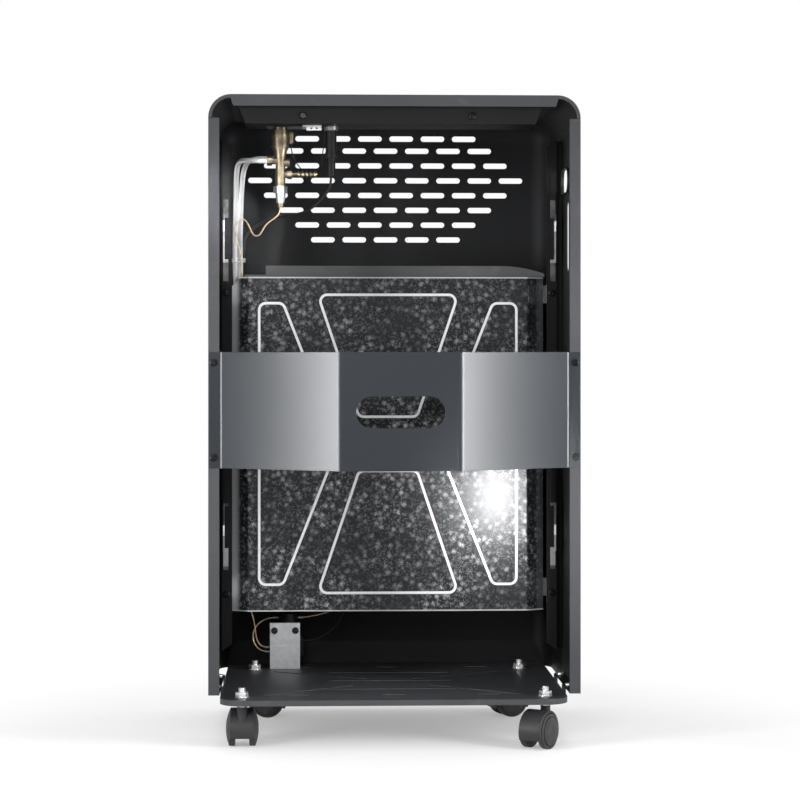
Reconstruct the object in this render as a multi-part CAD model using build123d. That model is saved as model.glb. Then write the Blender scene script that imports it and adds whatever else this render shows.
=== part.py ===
from build123d import *
from math import atan2, cos, pi, radians, sin, tan
import os

# Portable gas cabinet heater, in millimetres, +Z up. The burner looks along -Y. The open rear, with the
# cylinder bay, faces +Y. The heater's own left side is +X. The origin is on the ground, under the middle
# of the outline.

# Cabinet
width = 420.0
height = 740.0
body_depth = 334.0
band_bulge = 80.0
sheet = 1.0
corner_radius = 26.0
seam_gap = 0.6
rear_flange = 12.4
joint_depth = 191.0
cover_drop = 26.0
forehead_depth = 30.0
lip_height = 13.0
lip_end_gap = 28.0
corner_hem = 4.0
kick_height = 32.0
kick_lean = 7.0

# Strips that close the front shell towards the rear
strip_depth = 175.0
strip_setback = 8.5
strip_width = 12.5
strip_low = 92.0
strip_top_gap = 35.0
strip_bevel = 8.0

# Hooks on the strips
hook_inset = 2.0
hook_width = 6.0
hook_height = 130.0
hook_sheet = 1.6
hook_top_drop = 170.0
hook_rise = 97.0

# Hand holes and slits of the side panels
grip_length = 70.0
grip_height = 28.0
grip_depth = 140.0
grip_drop = 87.0
hole_rim = 4.0
slit_width = 18.0
slit_length = 83.0
slit_drop = 153.5
slit_depth = 124.0

# Vents and burner window of the front shell
vent_counts = [6, 7, 8, 9, 8, 7, 6, 5]
vent_length = 30.0
vent_height = 6.8
vent_pitch = 39.7
vent_row_pitch = 18.75
vent_top_pitch = 15.3
vent_drop = 20.0
window_side = 50.0
window_height = 206.0
window_level = 425.0
window_radius = 10.0
window_rim = 8.0

# Control tray
tray_depth = 68.0
tray_inset = 10.0
tray_drop = 32.0
tray_shift = 4.5
tray_side_gap = 33.5
tray_lean = 12.2
tray_rim = 6.0
tray_end_rim = 2.5
tray_screw_middle = 7.75
tray_screw_spread = 191.5
tray_screw_drop = 23.0
lug_width = 18.0

# Base plate
base_sheet = 1.2
base_lip = 6.5
base_side_inset = 12.0
base_rear_inset = 2.0
base_front_inset = 10.0
base_corner = 28.0
bead_width = 16.0
bead_length = 130.0
bead_start = 30.0
cross_bead = (150.0, 10.0)
cross_bead_pitch = 70.0
drain_slot = (26.0, 5.0)
drain_places = [-110.0, 0.0, 110.0]
drain_offset = 118.0
lug_rise = 6.5
lug_length = 34.0
lug_depths = [60.0, 150.0]
castor_height = 51.0

# Castors
wheel_radius = 20.0
wheel_width = 10.4
castor_trail = 16.0
web_width = 15.6
hood_wall = 2.4
hood_gap = 1.0
hood_low = 11.0
castor_bulge = 52.8
stem_radius = 4.0
collar_radius = 8.0
neck_radius = 5.6
neck_gap = 4.5
axle_radius = 3.0
nut_flats = 13.0
nut_height = 6.0
rear_castor_inset = 25.0
rear_castor_depth = 30.0
front_castor_inset = 34.0
front_castor_depth = 265.0
castor_turns = [90.0, 236.0, 0.0, 200.0]

# Retaining band
band_sheet = 1.2
band_low = 319.4
band_high = 450.0
band_fold_half = 66.0
band_start_inset = 14.0
band_shift = -3.5
band_fold_radius = 14.0
band_root_radius = 6.0
handle_length = 97.5
handle_height = 35.0
handle_level = 384.0
handle_rim = 3.0
band_screw_side = 6.0
band_screw_inset = 12.0

# Screws
screw_radius = 2.0
head_radius = 4.2
head_height = 2.6
hole_gap = 0.1

# Heat shield
shield_depth = 237.0
shield_sheet = 0.8
shield_side_gap = 18.0
shield_wing_run = 20.0
shield_wing = 12.0
shield_fold_radius = 5.0
shield_low = 132.0
shield_high = 542.0
shield_cut = 11.5
rib_width = 3.2
rib_height = 1.2
rib_corner = 10.0
rib_level = 337.4
ear_height = 22.0
ear_levels = [521.0, 160.0]
ear_gap = 2.5

# Burner
housing_gap = 6.0
housing_side_gap = 34.0
housing_low = 240.0
housing_high = 545.0
lip_height_over = 11.0
lip_left_step = 26.0
lip_curve = 55.0
lip_curve_drop = 9.5
lip_depth = 14.0
lip_shield_gap = 0.6
tube_notch = 325.0
plaque_gap = 4.0
plaque_height = 140.0
plaque_thick = 13.0
plaque_depth = 290.0
plaque_bore_pitch = 6.0
frame_border = 6.0
frame_sheet = 1.2
pan_depth = 20.0
pan_wall = 1.0
mixer_radius = 12.0
mixer_low = 285.0
manifold_radius = 6.0
manifold_level = 255.0
manifold_end_over = 12.0
manifold_inlet_over = 46.0
injector_radius = 4.0
injector_height = 16.0
reflector_lap = 2.0
guard_wire = 1.5
guard_gap = 3.0
guard_rows = 9
guard_posts = 3

# Pilot
pilot_depth = 309.0
pilot_side = 28.0
pilot_pitch = 12.0
pilot_radius = 4.0
pilot_low = 305.0
pilot_high = 345.0
probe_radius = 2.5
probe_high = 352.0
spark_radius = 3.0
spark_high = 336.0
pilot_plate_level = 318.0

# Gas valve
valve_side = 80.5
valve_depth = 46.0
collar_drop = 5.4
valve_collar_radius = 9.6
collar_height = 15.0
ear_boss_reach = 2.5
ring_radius = 10.6
cone_drop = 38.0
valve_body_radius = 5.5
valve_drop = 68.6
bore_radius = 4.1
bore_drop = 58.0
hose_drop = 54.5
hose_radius = 2.9
hose_barb_radius = 4.6
hose_reach = 42.0
hose_bore_radius = 1.8
barb_count = 5
barb_pitch = 4.6
outlet_drop = 39.2
outlet_radius = 4.0
pilot_port_drop = 33.4
hex_flats = 14.4
hex_height = 7.6
ferrule_height = 11.4
tip_radius = 2.8
tip_height = 5.2
bracket_sheet = 1.5
bracket_half_depth = 17.0
thread_radius = 6.0
locknut_flats = 17.0
locknut_height = 3.0

# Control knob
knob_radius = 20.0
skirt_height = 6.0
knob_height = 20.0
grip_radius = 13.0
grip_flutes = 12
knob_travel = 4.0
spindle_radius = 3.0
spindle_gap = 0.05
plunger_length = 14.0

# Piezo igniter
igniter_side = 138.4
igniter_radius = 6.3
igniter_flange_radius = 8.0
igniter_drop = 56.4
igniter_knurl_drop = 30.0
igniter_knurl_height = 5.7
igniter_notches = 24
igniter_tail_radius = 5.0
igniter_nut_height = 3.4
igniter_nut_step = 1.5
button_radius = 4.6
button_cap_radius = 7.5
button_travel = 5.0
spring_wire = 0.5
spring_radius = 3.2
spring_turns = 7

# Gas tubes
tube_radius = 3.0
tube_gap = 0.5
nut_gap = 0.2
main_start = 12.0
pilot_start = 14.0

# Tilt switch
tilt_side = 83.3
tilt_depth = 269.0
tilt_half = 18.6
tilt_high = 114.4
tilt_sheet = 1.2
tilt_foot = 14.0
tilt_box_depth = 22.0
tilt_box_low = 74.0
tilt_box_high = 96.0
tilt_box_step = 5.0
tilt_side_step = 1.0
tilt_can_shift = 3.9
tilt_can_radius = 11.6
tilt_can_high = 125.2
tilt_screw_half = 13.0
tilt_screw_drop = 9.5

# Cords
lead_radius = 1.3
probe_lead_radius = 0.75
cable_radius = 1.6
earth_radius = 0.6
igniter_lead_start = 10.6

# Places worked out from the sizes above
front_y = -(body_depth + band_bulge) / 2
rear_y = front_y + body_depth
band_y = -front_y
joint_y = rear_y - joint_depth
strip_y = rear_y - strip_depth
seam_z = height - cover_drop
base_under = castor_height
base_top = base_under + base_lip
shell_bottom = base_under + 1.0
side_bottom = base_top + lug_rise
shield_y = rear_y - shield_depth
housing_y = shield_y - housing_gap
plaque_y = rear_y - plaque_depth
pilot_y = rear_y - pilot_depth
valve_y = rear_y - valve_depth
tray_floor = height - tray_drop
tray_rear_y = rear_y - tray_inset
tray_front_y = tray_rear_y - tray_depth
tilt_y = rear_y - tilt_depth
side = width / 2
strip_high = height - strip_top_gap
window_width = width - 2 * window_side
tray_half_top = side - tray_side_gap
tray_half_bottom = tray_half_top - tray_lean
base_half_width = side - base_side_inset
rear_castor_half = base_half_width - rear_castor_inset
front_castor_half = base_half_width - front_castor_inset
band_start_half = side - band_start_inset
band_screw_half = side - band_screw_side
shield_half = side - shield_side_gap
shield_flat_half = shield_half - shield_wing_run
ear_reach = side - strip_setback - ear_gap
housing_half = side - housing_side_gap
plaque_pitch = 0.3 * window_width
plaque_width = plaque_pitch - plaque_gap
manifold_half = plaque_pitch + manifold_end_over
manifold_end = plaque_pitch + manifold_inlet_over
pilot_x = plaque_pitch + pilot_side
valve_x = side - valve_side
collar_top = tray_floor - collar_drop
cone_low = tray_floor - cone_drop
valve_low = tray_floor - valve_drop
hose_level = tray_floor - hose_drop
outlet_level = tray_floor - outlet_drop
pilot_port_level = tray_floor - pilot_port_drop
igniter_x = side - igniter_side
igniter_low = tray_floor - igniter_drop
igniter_knurl_high = tray_floor - igniter_knurl_drop
igniter_knurl_low = igniter_knurl_high - igniter_knurl_height
tilt_x = side - tilt_side
tilt_can_x = tilt_x - tilt_can_shift
grow = Align.MIN


def block(x0, x1, y0, y1, z0, z1):
    """A block between two corners."""
    return Pos((x0 + x1) / 2, (y0 + y1) / 2, (z0 + z1) / 2) * Box(x1 - x0, y1 - y0, z1 - z0)


def post(x, y, z0, z1, radius):
    """A round bar along Z."""
    return Pos(x, y, z0) * Cylinder(radius, z1 - z0, align=(Align.CENTER, Align.CENTER, grow))


def pin_x(y, z, x0, x1, radius):
    """A round bar along X."""
    bar = Cylinder(radius, x1 - x0, align=(Align.CENTER, Align.CENTER, grow))
    return Pos(x0, y, z) * Rot(0, 90, 0) * bar


def pin_y(x, z, y0, y1, radius):
    """A round bar along Y."""
    bar = Cylinder(radius, y1 - y0, align=(Align.CENTER, Align.CENTER, grow))
    return Pos(x, y0, z) * Rot(-90, 0, 0) * bar


def cone(x, y, z0, z1, low_radius, high_radius):
    """A cone along Z."""
    solid = Cone(low_radius, high_radius, z1 - z0, align=(Align.CENTER, Align.CENTER, grow))
    return Pos(x, y, z0) * solid


def hexagon(x, y, z0, z1, flats):
    """A hexagon bar along Z, with its corners taken off."""
    bar = Pos(x, y, z0) * extrude(RegularPolygon(flats / 2, 6, major_radius=False), z1 - z0)
    return bar & post(x, y, z0, z1, flats * 0.56)


def prism_x(points, x0, x1):
    """A solid of an outline in Y and Z."""
    outline = Polyline(*[(x0, y, z) for y, z in points], close=True)
    return extrude(make_face(outline), x1 - x0, dir=(1, 0, 0))


def prism_y(points, y0, y1):
    """A solid of an outline in X and Z."""
    outline = Polyline(*[(x, y0, z) for x, z in points], close=True)
    return extrude(make_face(outline), y1 - y0, dir=(0, 1, 0))


def slot_y(x, z, length, tall, y0, y1):
    """An oblong bar along Y, longer along X."""
    return Pos(x, y0, z) * Rot(-90, 0, 0) * extrude(SlotOverall(length, tall), y1 - y0)


def pane_y(x, z, wide, tall, radius, y0, y1):
    """A rounded rectangle run along Y."""
    return Pos(x, y0, z) * Rot(-90, 0, 0) * extrude(RectangleRounded(wide, tall, radius), y1 - y0)


def both_sides(shape):
    """A shape and its copy on the other side."""
    return shape + mirror(shape, about=Plane.YZ)


def group(shapes):
    """Separate solids that share a node."""
    solids = []
    for shape in shapes:
        solids += shape.solids()
    return Compound(children=solids)


# ---------------------------------------------------------------- cabinet

def kick_wedge(inset):
    """What the lean at the foot of the front takes away."""
    edge = front_y + inset
    high = shell_bottom + kick_height
    low = shell_bottom - 5
    lean = kick_lean * (high - low) / kick_height
    outline = [(edge, high), (edge + lean, low), (edge - 10, low), (edge - 10, high)]
    return prism_x(outline, -width, width)


def cabinet_block(inset):
    """The rounded cabinet block, drawn in from every walled face by the inset."""
    half = width / 2 - inset
    body = block(-half, half, front_y + inset, rear_y + inset, shell_bottom - inset, height - inset)
    corners = body.edges().filter_by(Axis.Z).group_by(Axis.Y)[0]
    sides = body.edges().filter_by(Axis.Y).group_by(Axis.Z)[-1]
    front = body.edges().filter_by(Axis.X).group_by(Axis.Z)[-1].sort_by(Axis.Y)[0:1]
    body = fillet(corners + sides + front, corner_radius - inset)
    return body - kick_wedge(inset)


def cabinet_skin():
    """The whole sheet skin, open at the rear and the bottom."""
    return cabinet_block(0) - cabinet_block(sheet)


def vent_slots():
    """The rows of vent slots."""
    slots = []
    for row, count in enumerate(vent_counts):
        level = height - vent_drop
        if row > 0:
            level -= vent_top_pitch + (row - 1) * vent_row_pitch
        for column in range(count):
            place = (column - (count - 1) / 2) * vent_pitch
            slot = slot_y(place, level, vent_length, vent_height, front_y - 1, front_y + corner_radius)
            slots.append(slot)
    return slots


def rear_strip():
    """One strip of the front shell: a step in from the side, a short wall and a face towards the rear."""
    outer = width / 2 - strip_setback
    inner = outer - strip_width
    step = block(outer - sheet, width / 2 - sheet / 2, joint_y - sheet, joint_y, strip_low, strip_high)
    wall = block(outer - sheet, outer, joint_y - sheet, strip_y, strip_low, strip_high)
    outline = [(inner, strip_low + strip_bevel), (outer - sheet, strip_low), (outer, strip_low)]
    outline += [(outer, strip_high), (outer - sheet, strip_high), (inner, strip_high - strip_bevel)]
    face = prism_y(outline, strip_y - sheet, strip_y)
    for level in ear_levels:
        face -= pin_y(ear_screw_x(), level, strip_y - 2 * sheet, strip_y + sheet, screw_radius + hole_gap)
    return step + wall + face


def ear_screw_x():
    """Where the strip screws stand, half way across the strip."""
    return width / 2 - strip_setback - strip_width / 2


def front_shell():
    """The front, with its vents, burner window and rear strips."""
    low = block(-width, width, front_y - 1, joint_y, 0, seam_z)
    brow = block(-width, width, front_y - 1, front_y + forehead_depth, 0, height + 1)
    shell = cabinet_skin() & (low + brow)
    shell -= vent_slots()
    rim_y = front_y + window_rim
    shell += pane_y(0, window_level, window_width + 2 * sheet, window_height + 2 * sheet,
                    window_radius + sheet, front_y + sheet / 2, rim_y)
    shell -= pane_y(0, window_level, window_width, window_height, window_radius, front_y - 1, rim_y + 1)
    half = window_height / 2 + 3 * sheet
    for x in guard_post_places():
        shell -= post(x, guard_post_y(), window_level - half, window_level + half, guard_wire + hole_gap)
    return shell + both_sides(rear_strip())


def side_panel():
    """The left side panel, with its rear and bottom flanges, hand hole and slit."""
    top = seam_z - seam_gap
    flange = side - rear_flange
    inner = side - sheet / 2
    panel = cabinet_skin() & block(0, width, joint_y + seam_gap, rear_y, side_bottom, top)
    panel += block(flange, inner, rear_y - sheet, rear_y, side_bottom, top)
    panel += block(flange, inner, joint_y + 2 * rear_flange, rear_y, side_bottom, side_bottom + sheet)
    turn = Pos(side, rear_y - grip_depth, height - grip_drop) * Rot(0, -90, 0)
    outer_slot = SlotOverall(grip_length + 2 * sheet, grip_height + 2 * sheet, rotation=90)
    panel += turn * extrude(outer_slot, hole_rim)
    inner_slot = SlotOverall(grip_length, grip_height, rotation=90)
    panel -= turn * Pos(0, 0, -1) * extrude(inner_slot, hole_rim + 2)
    slit = extrude(SlotOverall(slit_length, slit_width), 3 * sheet)
    panel -= Pos(side + 1, rear_y - slit_depth, height - slit_drop) * Rot(0, -90, 0) * slit
    for level in (band_high - band_screw_inset, band_low + band_screw_inset):
        panel -= pin_y(band_screw_half, level, rear_y - 3 * sheet, rear_y + 1, screw_radius + hole_gap)
    hole_radius = screw_radius + hole_gap
    for lug_depth in lug_depths:
        panel -= post(lug_x(), rear_y - lug_depth, side_bottom - 1, side_bottom + 2 * sheet, hole_radius)
    return panel


def lug_x():
    """Where the screws of the base lugs stand."""
    return width / 2 - rear_flange / 2 - sheet


def top_cover():
    """The top cover, with its rear lip, the well's opening and two lugs for the tray."""
    cut = block(-width, width, front_y + forehead_depth + seam_gap, rear_y, seam_z, height + 1)
    cover = cabinet_skin() & cut
    hem = cabinet_block(0) - cabinet_block(corner_hem)
    cover += hem & block(-width, width, rear_y - sheet, rear_y, seam_z, height + 1)
    half = width / 2 - lip_end_gap
    outline = [(-half, height - lip_height), (half, height - lip_height)]
    outline += [(half + corner_hem, height - sheet), (-half - corner_hem, height - sheet)]
    cover += prism_y(outline, rear_y - sheet, rear_y)
    half = tray_half_top - sheet - tray_rim
    cover -= block(tray_shift - half, tray_shift + half, tray_front_y + sheet + tray_rim,
                   tray_rear_y - sheet - tray_rim, height - 3 * sheet, height + 1)
    inside = tray_rear_y - sheet
    for x in tray_screw_places():
        lug = block(x - lug_width / 2, x + lug_width / 2, inside - sheet, inside,
                    height - tray_screw_drop - lug_width / 3, height - sheet / 2)
        cover += lug - pin_y(x, height - tray_screw_drop, inside - 3, inside + 3, screw_radius + hole_gap)
    return cover


def tray_screw_places():
    """The two tray screws along X."""
    return [tray_screw_middle - tray_screw_spread / 2, tray_screw_middle + tray_screw_spread / 2]


def control_tray():
    """The well under the top cover that holds the knob and the button."""
    top = height - sheet
    floor = tray_floor
    ends = [(tray_half_top, top), (tray_half_bottom, floor)]
    ends += [(-x, z) for x, z in reversed(ends)]
    outer = prism_y([(x + tray_shift, z) for x, z in ends], tray_front_y, tray_rear_y)
    hollow = [(tray_half_top - sheet, top + 1), (tray_half_bottom - sheet, floor + sheet)]
    hollow += [(-x, z) for x, z in reversed(hollow)]
    inner = prism_y([(x + tray_shift, z) for x, z in hollow], tray_front_y + sheet, tray_rear_y - sheet)
    half = tray_half_top + tray_end_rim
    rim = block(tray_shift - half, tray_shift + half, tray_front_y - tray_rim, tray_rear_y + tray_rim,
                top - sheet, top)
    tray = outer + rim - inner
    tray -= post(valve_x, valve_y, floor - 1, floor + 3, thread_radius + hole_gap)
    tray -= post(igniter_x, valve_y, floor - 1, floor + 3, igniter_radius + hole_gap)
    level = height - tray_screw_drop
    for x in tray_screw_places():
        tray -= pin_y(x, level, tray_rear_y - 3, tray_rear_y + 3, screw_radius + hole_gap)
    return tray


def castor_places():
    """The four castor stems: rear left, rear right, front left and front right."""
    rear = rear_y - rear_castor_depth
    front = rear_y - front_castor_depth
    places = [(rear_castor_half, rear), (-rear_castor_half, rear)]
    return places + [(front_castor_half, front), (-front_castor_half, front)]


def base_plate():
    """The pressed floor that carries the cylinder, with its lip, beads, drain slots and side lugs."""
    front = front_y + base_front_inset
    rear = rear_y - base_rear_inset
    half = base_half_width
    outer = block(-half, half, front, rear, base_under, base_top)
    outer = fillet(outer.edges().filter_by(Axis.Z), base_corner)
    inner = block(-half + base_sheet, half - base_sheet, front + base_sheet, rear - base_sheet,
                  base_under - 1, base_top - base_sheet)
    inner = fillet(inner.edges().filter_by(Axis.Z), base_corner - base_sheet)
    plate = outer - inner
    middle = (front + rear) / 2
    for x, y in castor_places():
        angle = atan2(middle - y, -x) * 180 / pi
        bead = extrude(SlotOverall(bead_length, bead_width), base_sheet)
        bead = Rot(0, 0, angle) * Pos(bead_start + bead_length / 2, 0, 0) * bead
        plate += Pos(x, y, base_top - base_sheet / 2) * bead
    for x, y in castor_places():
        plate -= post(x, y, base_under, base_top + 1, stem_radius + hole_gap)
    for offset in (-cross_bead_pitch, 0, cross_bead_pitch):
        bead = extrude(SlotOverall(*cross_bead), base_sheet)
        plate += Pos(0, middle + offset, base_top - base_sheet / 2) * bead
    for x in drain_places:
        for offset in (-drain_offset, drain_offset):
            drain = extrude(SlotOverall(*drain_slot), 3 * base_sheet)
            plate -= Pos(x, middle + offset, base_top - 2 * base_sheet) * drain
    for x in tilt_screw_places():
        plate -= post(x, tilt_y - tilt_foot * 0.6, base_under, base_top + 1, screw_radius + hole_gap)
    for lug_depth in lug_depths:
        lug = side_lug(rear_y - lug_depth)
        plate += both_sides(lug)
    return plate


def side_lug(y):
    """One lug that carries a side panel's bottom flange."""
    y0 = y - lug_length / 2
    y1 = y + lug_length / 2
    inner = base_half_width - base_sheet
    rise = block(inner, base_half_width, y0, y1, base_top - base_sheet, side_bottom)
    shelf = block(inner, lug_x() + rear_flange / 2, y0, y1, side_bottom - base_sheet, side_bottom)
    return rise + shelf - post(lug_x(), y, side_bottom - 3, side_bottom + 1, screw_radius + hole_gap)


# ---------------------------------------------------------------- retaining band

def set_off(points, distance):
    """The points of an open line, each moved to its right hand side by the distance."""
    moved = []
    for index, (x, y) in enumerate(points):
        before = points[max(index - 1, 0)]
        after = points[min(index + 1, len(points) - 1)]
        first = atan2(y - before[1], x - before[0]) if index > 0 else atan2(after[1] - y, after[0] - x)
        second = atan2(after[1] - y, after[0] - x) if index < len(points) - 1 else first
        middle = (first + second) / 2
        reach = distance / cos((second - first) / 2)
        moved.append((x + reach * sin(middle), y - reach * cos(middle)))
    return moved


def folded_strip(points, radii, thickness, z0, z1):
    """A folded sheet that stands upright: its right hand side, seen from above, is the given line."""
    inner = set_off(points, -thickness)
    inner_radii = []
    for index, radius in enumerate(radii):
        (ax, ay), (bx, by), (cx, cy) = points[index:index + 3]
        left_turn = (bx - ax) * (cy - by) - (by - ay) * (cx - bx) > 0
        inner_radii.append(radius - thickness if left_turn else radius + thickness)
    face_line = FilletPolyline(*[(x, y, z0) for x, y in points], radius=radii)
    back_line = FilletPolyline(*[(x, y, z0) for x, y in inner], radius=inner_radii)
    start = Line(face_line @ 0, back_line @ 0)
    end = Line(face_line @ 1, back_line @ 1)
    return extrude(make_face([face_line, start, back_line, end]), z1 - z0, dir=(0, 0, 1))


def retaining_band():
    """The folded band that keeps the cylinder in, with its hand slot."""
    outer = rear_y + band_sheet
    tab = side - sheet / 2
    line = [(tab, outer), (band_start_half, outer), (band_shift + band_fold_half, band_y)]
    line += [(band_shift - band_fold_half, band_y), (-band_start_half, outer), (-tab, outer)]
    radii = [band_root_radius, band_fold_radius, band_fold_radius, band_root_radius]
    band = folded_strip(line, radii, band_sheet, band_low, band_high)
    ring = slot_y(band_shift, handle_level, handle_length + 2 * band_sheet, handle_height + 2 * band_sheet,
                  band_y - band_sheet - handle_rim, band_y - band_sheet / 2)
    inside = band_y - 3 * handle_rim
    hole = slot_y(band_shift, handle_level, handle_length, handle_height, inside, band_y + 1)
    band += ring
    band -= hole
    for side_x in (-band_screw_half, band_screw_half):
        for level in (band_high - band_screw_inset, band_low + band_screw_inset):
            band -= pin_y(side_x, level, rear_y - 1, outer + 1, screw_radius + hole_gap)
    return band


def pan_screw_rear(x, y, z, grip):
    """A pan head screw whose head faces the rear."""
    head = pin_y(x, z, y, y + head_height, head_radius)
    head = fillet(head.edges().sort_by(Axis.Y)[-1:], head_height * 0.6)
    recess = block(x - 0.5, x + 0.5, y + head_height - 1.2, y + head_height + 1, z - 2.2, z + 2.2)
    recess += block(x - 2.2, x + 2.2, y + head_height - 1.2, y + head_height + 1, z - 0.5, z + 0.5)
    return head - recess + pin_y(x, z, y - grip, y + 0.1, screw_radius)


def pan_screw_top(x, y, z, grip):
    """A pan head screw whose head faces up."""
    head = post(x, y, z, z + head_height, head_radius)
    head = fillet(head.edges().sort_by(Axis.Z)[-1:], head_height * 0.6)
    recess = block(x - 0.5, x + 0.5, y - 2.2, y + 2.2, z + head_height - 1.2, z + head_height + 1)
    recess += block(x - 2.2, x + 2.2, y - 0.5, y + 0.5, z + head_height - 1.2, z + head_height + 1)
    return head - recess + post(x, y, z - grip, z + 0.1, screw_radius)


def band_screws():
    """The four screws of the band."""
    screws = []
    for x in (-band_screw_half, band_screw_half):
        for level in (band_high - band_screw_inset, band_low + band_screw_inset):
            screws.append(pan_screw_rear(x, rear_y + band_sheet, level, 8))
    return group(screws)


def panel_screws():
    """The two tray screws and the four strip screws."""
    screws = [pan_screw_rear(x, tray_rear_y, height - tray_screw_drop, 7) for x in tray_screw_places()]
    for x in (-ear_screw_x(), ear_screw_x()):
        screws += [pan_screw_rear(x, strip_y, level, 8) for level in ear_levels]
    return group(screws)


def base_screws():
    """The screws of the base lugs and of the tilt switch."""
    screws = []
    for x in (-lug_x(), lug_x()):
        screws += [pan_screw_top(x, rear_y - lug_depth, side_bottom + sheet, 6) for lug_depth in lug_depths]
    for x in tilt_screw_places():
        screws.append(pan_screw_top(x, tilt_y - tilt_foot * 0.6, base_top + tilt_sheet, 6))
        screws.append(pan_screw_rear(x, tilt_y, tilt_high - tilt_screw_drop, 6))
    return group(screws)


def panel_hooks():
    """The four zinc hooks on the strips, seen edge on, that catch the side panels."""
    hooks = []
    edge = side - strip_setback - hook_inset
    foot = edge - hook_width
    for low in (strip_high - hook_top_drop, strip_low + hook_rise):
        plate = block(foot, edge, strip_y, strip_y + sheet, low, low + hook_height)
        plate -= block(foot - 1, edge - hook_sheet, strip_y - 1, strip_y + 2, low + 26, low + 76)
        blade = block(edge - hook_sheet, edge, strip_y, strip_y + 9, low + 22, low + 80)
        blade += block(edge - hook_sheet, edge, strip_y, strip_y + 12, low + 66, low + 80)
        hooks += [plate + blade, mirror(plate + blade, about=Plane.YZ)]
    return group(hooks)


# ---------------------------------------------------------------- shield and burner

def ring_y(points, thickness_y):
    """A raised rib that follows a closed outline with round corners, on the rear face of the shield."""
    outline = make_face(Polyline(*points, close=True))
    outline = fillet(outline.vertices(), rib_corner)
    ring = outline - offset(outline, -rib_width, kind=Kind.INTERSECTION)
    return Pos(0, shield_y - shield_sheet / 2, rib_level) * Rot(90, 0, 0) * extrude(ring, -thickness_y)


def shield_ribs():
    """Two trapezoids and two triangles round the middle of the shield."""
    thickness = rib_height + shield_sheet / 2
    ribs = []
    for way in (1, -1):
        middle = [(-88.4, way * 184.4), (88.4, way * 184.4), (36.8, way * 31.6), (-36.8, way * 31.6)]
        ribs.append(ring_y(middle, thickness))
        side = [(127.6, 174.0), (159.5, 174.0), (159.5, -174.0), (127.6, -174.0), (58.9, 0.0)]
        ribs.append(ring_y([(way * x, z) for x, z in side], thickness))
    return ribs


def shield_ear(level):
    """One ear that carries the shield on a strip."""
    z0 = level - ear_height / 2
    z1 = level + ear_height / 2
    wing_y = shield_y - shield_wing
    inner = width / 2 - strip_setback - strip_width
    foot = block(shield_half - 1, ear_reach, wing_y - shield_sheet, wing_y, z0, z1)
    wall = block(ear_reach - sheet, ear_reach, wing_y - shield_sheet, strip_y - sheet, z0, z1)
    flange = block(inner, ear_reach, strip_y - 2 * sheet, strip_y - sheet, z0, z1)
    return foot + wall + flange - pin_y(ear_screw_x(), level, strip_y - 4, strip_y, screw_radius + hole_gap)


def heat_shield():
    """The galvanised shield between the burner and the cylinder."""
    wing_y = shield_y - shield_wing
    line = [(shield_half, wing_y), (shield_flat_half, shield_y)]
    line += [(-x, y) for x, y in reversed(line)]
    shield = folded_strip(line, [shield_fold_radius] * 2, shield_sheet, shield_low, shield_high)
    corner = [(shield_half + 1, shield_high - shield_cut - 1), (shield_half + 1, shield_high + 1)]
    corner.append((shield_half - shield_cut - 1, shield_high + 1))
    shield -= prism_y(corner, wing_y - 5, shield_y + 5)
    for rib in shield_ribs():
        shield += rib
    for level in ear_levels:
        shield += both_sides(shield_ear(level))
    return shield


def burner_housing():
    """The sheet box behind the shield: back, roof with its lip, and two sides."""
    front = front_y + sheet
    half = housing_half
    box = block(-half, half, housing_y - sheet, housing_y, housing_low, housing_high)
    box += block(-half, half, front, housing_y, housing_high - sheet, housing_high)
    box += block(-half, -half + sheet, front, housing_y, housing_low, housing_high)
    box += block(half - sheet, half, front, housing_y, tube_notch, housing_high)
    hood = lip_shape(lip_depth)
    return box + lip_shape(sheet) + (hood - Pos(0, 0, -sheet) * hood)


def lip_shape(depth):
    """The lip over the shield's top edge: a step on the left, a long curve down on the right."""
    left = housing_half - lip_left_step
    right = -shield_half - sheet
    low = shield_high + lip_shield_gap
    high = housing_high + lip_height_over
    y = housing_y - depth
    curve_end = (right, y, high - lip_curve_drop)
    curve_start = (right + lip_curve, y, high)
    edge = Polyline(curve_end, (right, y, low), (left, y, low), (left, y, high), curve_start)
    curve = TangentArc(curve_start, curve_end, tangent=(-1, 0, 0))
    return extrude(make_face([edge, curve]), depth, dir=(0, 1, 0))


def plaque_places():
    """The three plaques along X."""
    return [-plaque_pitch, 0.0, plaque_pitch]


def ceramic_plaque(x):
    """A ceramic plaque, with a field of shallow burner dimples on its front."""
    z0 = window_level - plaque_height / 2
    z1 = window_level + plaque_height / 2
    plaque = block(x - plaque_width / 2, x + plaque_width / 2, plaque_y - plaque_thick, plaque_y, z0, z1)
    plaque = chamfer(plaque.edges().filter_by(Axis.Y), 2)
    grooves = []
    count = int(plaque_height / (2 * plaque_bore_pitch)) - 1
    front = plaque_y - plaque_thick
    half = plaque_width / 2 - frame_border
    for index in range(count):
        level = window_level + (index - (count - 1) / 2) * 2 * plaque_bore_pitch
        grooves.append(block(x - half, x + half, front - 1, front + 1, level - 1.5, level + 1.5))
    return plaque - grooves


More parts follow.
